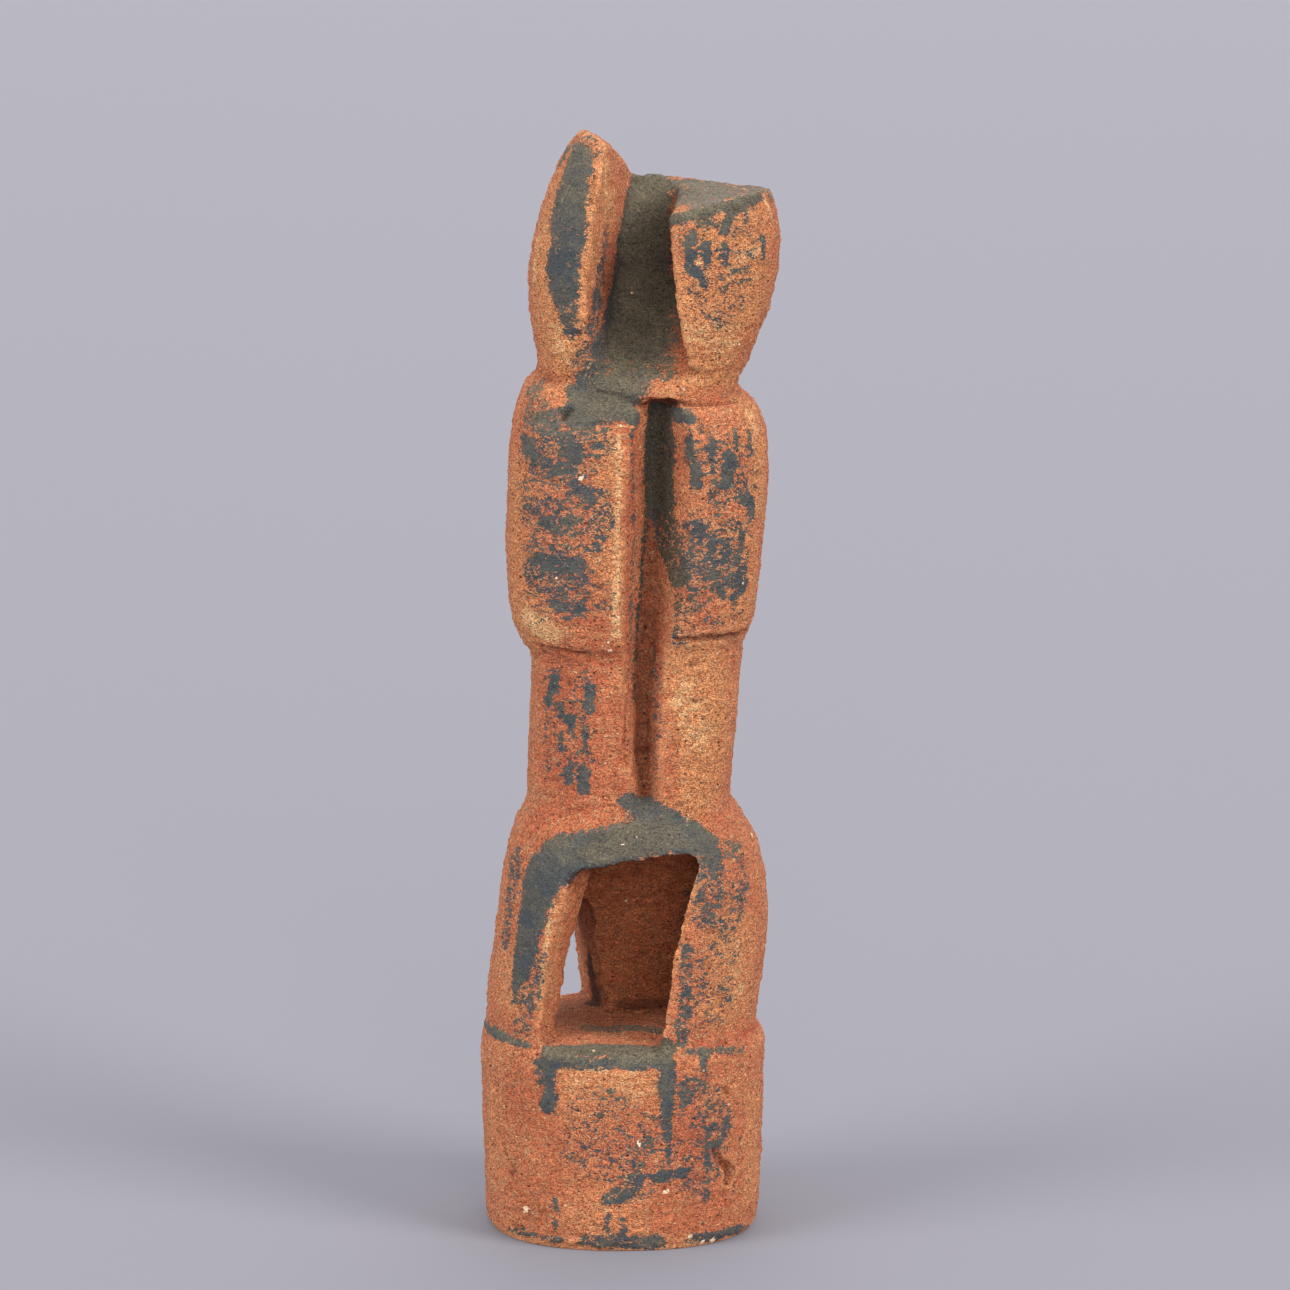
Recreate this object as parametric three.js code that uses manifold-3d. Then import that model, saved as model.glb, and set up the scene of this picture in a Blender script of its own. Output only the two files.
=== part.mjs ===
// A carved stoneware figure, fired in one piece: a round base, a skirt standing on three legs,
// a waist, a square-shouldered torso, a short neck and a head split into two lobes.
// Millimetres. +Z is up, the front faces -Y, and the origin is under the middle of the piece.
import * as THREE from "three";
import { mergeVertices } from "three/addons/utils/BufferGeometryUtils.js";
import Module from "manifold-3d";

const wasm = await Module();
wasm.setup();

// Driving heights
const HEIGHT = 450;
const LEDGE_Z = 84; // top of the base, where the skirt steps in
const SKIRT_TOP_Z = 177;
const TORSO_FOOT_Z = 241;
const SHOULDER_Z = 340;
const NECK_Z = 350;

// Fineness of the skins
const RING_POINTS = 44;
const CUTTER_REACH = 80; // a cutter ends this far from the axis, clear of the clay

// Fired clay
const CLAY_COLOUR = 0xb4663c;
const CLAY_ROUGHNESS = 0.95;

// A body's stations from the foot up: [z, left, right, front, back, squareness, tilt].
// Left and right are X, front and back are Y, squareness is the superellipse power,
// and tilt lifts the ring by that share of X.

const BASE = [
  [0, -54.6, 53.8, -50.4, 50.2, 2.25, 0],
  [2.5, -56.4, 55.8, -52.2, 52, 2.25, 0],
  [12, -57.2, 56.8, -53.2, 53, 2.25, 0],
  [46, -58.1, 58.1, -54.2, 54, 2.25, 0],
  [74, -58.8, 59, -55, 54.6, 2.25, 0],
  [79, -58.7, 58.3, -54.4, 54, 2.2, 0],
  [LEDGE_Z, -57.2, 55.6, -51.8, 51.6, 2.2, 0],
];

const SKIRT = [
  [76, -56.4, 54.6, -51, 50.6, 2.15, 0],
  [90, -56.6, 55.2, -51.2, 50.6, 2.15, 0],
  [108, -54.7, 58.2, -51.4, 50.6, 2.15, 0],
  [128, -52.3, 60, -51.2, 50.4, 2.2, 0],
  [146, -50, 59, -49.8, 49, 2.3, 0],
  [158, -47.6, 56.2, -46.6, 46.2, 2.4, 0],
  [168, -44, 50.6, -42, 42, 2.6, 0],
  [SKIRT_TOP_Z, -39.4, 44.6, -37.6, 37, 2.9, 0],
];

const WAIST = [
  [160, -39.8, 43.8, -37.4, 36.4, 3.2, 0],
  [182, -39, 44, -37.4, 36.4, 3.2, 0],
  [200, -38.4, 45.6, -37.8, 36.6, 3.3, 0],
  [220, -37.6, 47.2, -38.2, 36.8, 3.4, 0],
  [252, -37.2, 49, -38.8, 37.2, 3.5, 0],
];

const TORSO = [
  [TORSO_FOOT_Z, -37.4, 48.6, -39, 37.4, 3.2, 0.05],
  [246, -41.6, 51.2, -41.6, 40, 3.4, 0.045],
  [253, -44.6, 53.4, -42.8, 41.6, 3.6, 0.03],
  [265, -46.2, 55.2, -43.4, 42.4, 3.7, 0.01],
  [288, -47.1, 57.9, -43.8, 42.8, 3.7, 0],
  [312, -46.2, 58.9, -43.8, 42.8, 3.6, 0],
  [330, -44.6, 58, -43, 42, 3.5, -0.01],
  [SHOULDER_Z, -42.4, 55, -39.6, 39, 3, -0.03],
  [346, -39.8, 50, -35, 35, 2.8, -0.05],
  [NECK_Z, -36, 44, -29, 30, 2.6, -0.06],
];

const HEAD = [
  [344, -36, 46, -37.6, 36, 2.6, 0],
  [348, -35, 46.2, -36.4, 35, 2.6, 0],
  [353, -34.6, 48.6, -35, 35, 2.7, 0],
  [356, -34.6, 50.6, -37.4, 36.6, 2.7, 0],
  [364, -35.9, 53.8, -39.2, 38.6, 2.7, 0],
  [376, -37.5, 58.6, -41, 41, 2.7, 0],
  [390, -37.9, 62.5, -41.8, 41.6, 2.7, 0],
  [404, -36.4, 64, -41, 40.6, 2.7, 0],
  [416, -33.4, 62.8, -38.8, 38, 2.6, 0],
  [430, -28.6, 58, -34, 32, 2.5, 0],
  [444, -21.2, 50, -26, 22, 2.3, 0],
  [452, -13.6, 46, -20, 14, 2.2, 0],
];

// The groove between the two halves of the torso and waist, from the foot up: its sharp left lip,
// its valley and where its gentle right slope comes out: [z, lipX, valleyX, valleyY, slopeX].
const GROOVE = [
  [170, -1, 8.6, -46, 18],
  [177, -1, 8.6, -35, 18],
  [186, -0.6, 8, -26, 17],
  [204, 0.6, 7.4, -22.5, 17],
  [226, 1, 7.2, -22, 18],
  [244, -0.2, 8.4, -22.5, 20],
  [262, 0, 9.4, -23, 24],
  [297, 1.2, 10.2, -23.5, 28],
  [330, 4, 11.4, -23, 28],
  [342, 5.6, 12, -23, 28],
  [358, 5.6, 12, -23, 28],
];
const GROOVE_FRONT_Y = -42.5;
const GROOVE_PITCH = 18; // height between the rings of the groove
const SHOULDER_ROLL = { x: 60, y: -8 }; // beyond the slope the cut runs on, just clear of the right half

// The split of the head: the left lobe's inner edge, the crease behind it, the back of the split
// and the right lobe's inner edge, from the neck up: [z, lobeX, creaseX, backY, rightX].
const SPLIT = [
  [350, -18, -8, -36, 28],
  [356, -16.6, -6.6, -27, 26.6],
  [364, -15.6, -5.4, -17, 24.8],
  [374, -14.6, -4, -8, 22.8],
  [388, -13.4, -2.6, 1, 20.8],
  [404, -12.2, -0.8, 8, 19],
  [418, -11, 1.6, 16, 18],
  [430, -10.2, 4, 27, 17.4],
  [456, -8, 6, 38, 17],
];
const SPLIT_FRONT_Y = -38;
const SPLIT_RIGHT_UNDERCUT = 5; // the back of the split reaches behind the right lobe
const SPLIT_SAG = 2.4; // how far its back bows in at the middle
const SPLIT_PITCH = 8;

// The top of the head: the notch beside the left lobe, and four corners of the sunk top beyond it.
const NOTCH = { x: 5.5, z: 431.6 };
const LOBE_RISE = 1.38; // the left lobe's climb at the notch for each millimetre to the left
const LOBE_BEND = 0.0255; // and how fast the climb flattens towards the tip
const LOBE_FALL = 0.12; // the lobe's fall for each millimetre behind the axis
const SUNK_TOP = { innerX: 16, outerX: 60, frontY: -40, backY: 36, dish: 1.6 };
const SUNK_TOP_Z = { frontInner: 416, frontOuter: 427, backInner: 430.6, backOuter: 425 };

// The room inside the skirt behind its front window. Stations from the front inwards:
// [y, footLeft, footRight, headLeft, headRight, headZLeft, headZRight, floorZ].
// The window leans to the left as it comes down, and the roof sinks to the pillar at the back.
const ROOM = [
  [-80, -36, 14.8, -23.6, 28.4, 153.6, 159, 66],
  [-54, -36, 14.8, -23.6, 28.4, 154, 159.6, 77],
  [-50, -35.8, 15, -23.2, 28.6, 154.4, 160, 82],
  [-44, -34.2, 16.4, -20.8, 30.4, 156, 162, 84.2],
  [-27, -27.4, 22, -11.4, 35.4, 157, 162, 84.8],
  [-14, -29, 26, -14, 37, 152, 158.4, 85.4],
  [-2, -28, 27, -16, 36, 143, 150, 85.8],
  [8, -20, 27, -15, 32, 128, 132, 86],
  [14, -12, 24, -13, 25, 110, 110, 86],
  [15.5, -9, 19, -10, 20, 98, 98, 86],
];
const WINDOW_CORNER = 5; // radius of the window's upper corners
const WINDOW_BOW = 2.4; // both sides of the window bow this far to the left at half height

// The two arched openings behind, from the room outwards: the foot of the left and right wall
// [leftX, leftY, rightX, rightY], then [sillZ, springZ, crownZ, lean of the walls].
const LEFT_ARCH = [
  [-20, -30, 0, 4, 85.4, 116, 137, 0.29],
  [-27.6, -27, -6.2, 15.4, 85, 116, 137, 0.29],
  [-66, 24, -24, 67, 83, 106, 130, 0.16],
];
const RIGHT_ARCH = [
  [14, 4, 20, -30, 85.4, 112, 137, 0.2],
  [21, 18, 26, -27, 85, 112, 137, 0.2],
  [44, 58, 68, 14, 83, 104, 130, 0.14],
];

// A smooth function of the first column through the rows of a table.
function through(rows) {
  const places = new Float32Array(rows.map((row) => row[0]));
  const values = new Float32Array(rows.flatMap((row) => row.slice(1)));
  const curve = new THREE.CubicInterpolant(places, values, rows[0].length - 1);
  return (place) => Array.from(curve.evaluate(place));
}

// Every row's own place, and evenly spaced places between them no further apart than step.
function placesAlong(rows, step) {
  const places = [rows[0][0]];
  for (let i = 1; i < rows.length; i += 1) {
    const from = rows[i - 1][0];
    const gaps = Math.max(1, Math.round((rows[i][0] - from) / step));
    for (let k = 1; k <= gaps; k += 1) places.push(from + ((rows[i][0] - from) * k) / gaps);
  }
  return places;
}

// A closed skin over rings of points that all have the same count and turn the same way.
function skin(rings) {
  const count = rings[0].length;
  const points = rings.flat();
  const faces = [];
  for (let r = 0; r + 1 < rings.length; r += 1) {
    for (let k = 0; k < count; k += 1) {
      const a = r * count + k;
      const b = r * count + ((k + 1) % count);
      faces.push(a, b, b + count, a, b + count, a + count);
    }
  }
  const closeWith = (ring, start, outwards) => {
    const middle = ring.reduce((sum, p) => sum.add(p), new THREE.Vector3()).divideScalar(count);
    const hub = points.push(middle) - 1;
    for (let k = 0; k < count; k += 1) {
      const pair = [start + k, start + ((k + 1) % count)];
      faces.push(hub, ...(outwards ? pair : pair.reverse()));
    }
  };
  closeWith(rings[0], 0, false);
  closeWith(rings.at(-1), (rings.length - 1) * count, true);
  return new THREE.BufferGeometry().setFromPoints(points).setIndex(faces);
}

function signedPower(value, power) {
  return Math.sign(value) * Math.abs(value) ** power;
}

// One ring of a body: a superellipse that fills its left, right, front and back.
function bodyRing(z, [left, right, front, back, squareness, tilt]) {
  const middle = (left + right) / 2;
  const reach = (right - left) / 2;
  const ring = [];
  for (let k = 0; k < RING_POINTS; k += 1) {
    const turn = (2 * Math.PI * k) / RING_POINTS;
    const x = middle + reach * signedPower(Math.cos(turn), 2 / squareness);
    const across = signedPower(Math.sin(turn), 2 / squareness);
    const y = across < 0 ? -across * front : across * back;
    ring.push(new THREE.Vector3(x, y, z + tilt * x));
  }
  return ring;
}

function body(stations, step) {
  const valuesAt = through(stations);
  return skin(placesAlong(stations, step).map((z) => bodyRing(z, valuesAt(z))));
}

// The point beyond `from` on the line from `behind`, carried out to a given Y.
function outTo(y, from, behind) {
  const share = (y - from[1]) / (from[1] - behind[1]);
  return [from[0] + (from[0] - behind[0]) * share, y];
}

const OUT_Y = -CUTTER_REACH;

function groove() {
  const valuesAt = through(GROOVE);
  const rings = placesAlong(GROOVE, GROOVE_PITCH).map((z) => {
    const [lipX, valleyX, valleyY, slopeX] = valuesAt(z);
    const front = Math.min(GROOVE_FRONT_Y, valleyY - 6);
    const lip = [lipX, front];
    const valley = [valleyX, valleyY];
    const rise = (along, up) => [
      THREE.MathUtils.lerp(valleyX, slopeX, along),
      THREE.MathUtils.lerp(valleyY, front, up),
    ];
    const slope = [rise(0.2, 0.1), rise(0.5, 0.42), rise(0.8, 0.8), rise(1, 0.97)];
    const beyondX = slopeX + SHOULDER_ROLL.x;
    const beyond = [
      [beyondX, front + SHOULDER_ROLL.y],
      [beyondX, OUT_Y],
    ];
    const outline = [outTo(OUT_Y, lip, valley), valley, ...slope, ...beyond];
    return outline.reverse().map(([x, y]) => new THREE.Vector3(x, y, z));
  });
  return skin(rings);
}

function split() {
  const valuesAt = through(SPLIT);
  const rings = placesAlong(SPLIT, SPLIT_PITCH).map((z) => {
    const [lobeX, creaseX, backY, rightX] = valuesAt(z);
    const front = Math.min(SPLIT_FRONT_Y, backY - 5);
    const lobe = [lobeX, front];
    const crease = [creaseX, backY];
    const behindX = rightX + SPLIT_RIGHT_UNDERCUT;
    const alongBack = (share, sag) => [creaseX + (behindX - creaseX) * share, backY + sag];
    const outline = [
      outTo(OUT_Y, lobe, crease),
      crease,
      alongBack(0.3, SPLIT_SAG),
      alongBack(0.62, SPLIT_SAG),
      alongBack(0.88, 0),
      [behindX, backY - 4],
      [rightX, front + 3],
      [rightX, OUT_Y],
    ];
    return outline.reverse().map(([x, y]) => new THREE.Vector3(x, y, z));
  });
  return skin(rings);
}

// Height of the head's top: the left lobe's slope down to the notch, and the sunk top beyond it.
function headTopZ(x, y) {
  if (x < NOTCH.x) {
    const leftwards = NOTCH.x - x;
    const behind = Math.max(0, y);
    return NOTCH.z + LOBE_RISE * leftwards - LOBE_BEND * leftwards ** 2 - LOBE_FALL * behind;
  }
  const { innerX, outerX, frontY, backY, dish } = SUNK_TOP;
  const u = THREE.MathUtils.clamp((x - innerX) / (outerX - innerX), 0, 1);
  const v = THREE.MathUtils.clamp((y - frontY) / (backY - frontY), 0, 1);
  const { lerp } = THREE.MathUtils;
  const front = lerp(SUNK_TOP_Z.frontInner, SUNK_TOP_Z.frontOuter, u);
  const back = lerp(SUNK_TOP_Z.backInner, SUNK_TOP_Z.backOuter, u);
  return lerp(front, back, v) - dish * Math.sin(Math.PI * u) * Math.sin(Math.PI * v);
}

// What is cut away above the head: a block whose underside is the head's top.
function aboveHead() {
  const span = { low: -40, high: 75 };
  const columns = 23;
  const rows = 12;
  const top = HEIGHT + 30;
  const deep = 110;
  const block = new THREE.BoxGeometry(span.high - span.low, deep, 1, columns, rows, 1);
  block.translate((span.high + span.low) / 2, 0, 0);
  const at = block.getAttribute("position");
  for (let i = 0; i < at.count; i += 1) {
    at.setZ(i, at.getZ(i) > 0 ? top : headTopZ(at.getX(i), at.getY(i)));
  }
  return block;
}

function room() {
  const c = WINDOW_CORNER;
  const rings = ROOM.map(([y, footLeft, footRight, headLeft, headRight, zLeft, zRight, floor]) => {
    const midZ = (floor + Math.min(zLeft, zRight)) / 2;
    const outline = [
      [footLeft, floor],
      [(footLeft + footRight) / 2, floor],
      [footRight, floor],
      [(footRight + headRight) / 2 - WINDOW_BOW, midZ],
      [headRight - c * 0.1, zRight - c],
      [headRight - c * 0.35, zRight - c * 0.3],
      [headRight - c, zRight],
      [(headLeft + headRight) / 2, (zLeft + zRight) / 2 + 1],
      [headLeft + c, zLeft],
      [headLeft + c * 0.3, zLeft - c * 0.3],
      [headLeft - c * 0.1, zLeft - c],
      [(footLeft + headLeft) / 2 - WINDOW_BOW, midZ],
    ];
    return outline.reverse().map(([x, z]) => new THREE.Vector3(x, y, z));
  });
  return skin(rings);
}

// An arched opening that runs from the room out through the skirt, its walls leaning together.
function archway(stations) {
  const turns = 6;
  const rings = stations.map(([leftX, leftY, rightX, rightY, sill, spring, crown, lean]) => {
    const left = new THREE.Vector3(leftX, leftY, 0);
    const right = new THREE.Vector3(rightX, rightY, 0);
    const middle = left.clone().add(right).multiplyScalar(0.5);
    const half = right.clone().sub(left).multiplyScalar(0.5);
    const wide = half.length();
    const at = (share, z) => middle.clone().addScaledVector(half, share).setZ(z);
    const springShare = 1 - (lean * (spring - sill)) / wide;
    const ring = [at(1, sill), at(-1, sill)];
    for (let k = 0; k <= turns; k += 1) {
      const turn = Math.PI * (1 - k / turns);
      ring.push(at(springShare * Math.cos(turn), spring + (crown - spring) * Math.sin(turn)));
    }
    return ring;
  });
  return skin(rings);
}

function solid(geometry) {
  const bare = geometry.index ? geometry.toNonIndexed() : geometry.clone();
  bare.deleteAttribute("normal");
  bare.deleteAttribute("uv");
  const merged = mergeVertices(bare, 1e-3);
  const vertProperties = merged.getAttribute("position").array;
  const triVerts = new Uint32Array(merged.index.array);
  return new wasm.Manifold(new wasm.Mesh({ numProp: 3, vertProperties, triVerts }));
}

function geometryOf(made) {
  const mesh = made.getMesh();
  return new THREE.BufferGeometry()
    .setAttribute("position", new THREE.BufferAttribute(new Float32Array(mesh.vertProperties), 3))
    .setIndex(new THREE.BufferAttribute(new Uint32Array(mesh.triVerts), 1));
}

function figure() {
  const trunk = solid(body(WAIST, 20)).add(solid(body(TORSO, 10))).subtract(solid(groove()));
  const head = solid(body(HEAD, 10)).subtract(solid(split())).subtract(solid(aboveHead()));
  const hollow = solid(room()).add(solid(archway(LEFT_ARCH))).add(solid(archway(RIGHT_ARCH)));
  const foot = solid(body(SKIRT, 10)).add(solid(body(BASE, 25))).subtract(hollow);
  return foot.add(trunk).add(head);
}

// Moved so that the origin is under the middle of the piece's own box.
function centred(geometry) {
  geometry.computeBoundingBox();
  const { min, max } = geometry.boundingBox;
  return geometry.translate(-(min.x + max.x) / 2, -(min.y + max.y) / 2, -min.z);
}

function named(name, geometry, material) {
  const mesh = new THREE.Mesh(geometry, material);
  mesh.name = name;
  return mesh;
}

const clay = new THREE.MeshStandardMaterial({
  color: CLAY_COLOUR,
  roughness: CLAY_ROUGHNESS,
  metalness: 0,
});
const sculpture = new THREE.Group();
sculpture.name = "stoneware figure";
sculpture.add(named("figure", centred(geometryOf(figure())), clay));
export default sculpture;
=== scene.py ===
# A carved stoneware figure with worn dark slip, dressed over its CAD solid.
# Lengths in the tables are millimetres in the figure's own frame; the front faces -Y.
import math
import random

import bpy
import numpy as np
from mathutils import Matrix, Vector, noise


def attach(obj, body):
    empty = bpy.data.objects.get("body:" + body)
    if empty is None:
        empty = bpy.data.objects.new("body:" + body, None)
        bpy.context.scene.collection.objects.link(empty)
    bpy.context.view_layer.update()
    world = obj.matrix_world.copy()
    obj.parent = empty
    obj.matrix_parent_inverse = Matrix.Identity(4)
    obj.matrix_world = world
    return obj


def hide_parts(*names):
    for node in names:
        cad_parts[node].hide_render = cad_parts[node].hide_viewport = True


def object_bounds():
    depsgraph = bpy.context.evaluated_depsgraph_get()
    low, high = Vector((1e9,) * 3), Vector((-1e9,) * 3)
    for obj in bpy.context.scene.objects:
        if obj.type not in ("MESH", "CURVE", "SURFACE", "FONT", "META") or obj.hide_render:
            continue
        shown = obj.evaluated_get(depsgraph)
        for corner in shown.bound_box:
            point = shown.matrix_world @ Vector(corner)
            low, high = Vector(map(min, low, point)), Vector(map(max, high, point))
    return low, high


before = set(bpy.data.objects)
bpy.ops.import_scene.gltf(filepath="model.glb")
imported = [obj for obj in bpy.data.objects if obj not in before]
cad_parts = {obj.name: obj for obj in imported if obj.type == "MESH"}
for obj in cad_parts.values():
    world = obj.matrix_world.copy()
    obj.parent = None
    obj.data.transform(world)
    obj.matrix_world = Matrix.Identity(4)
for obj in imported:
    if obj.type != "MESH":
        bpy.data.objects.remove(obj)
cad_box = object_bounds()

MM = 0.001

# Clay body
CLAY_GRAIN = 0.92 * MM  # fineness of the clay's mesh
MOST_TRIANGLES = 194000
SEED = 11

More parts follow.
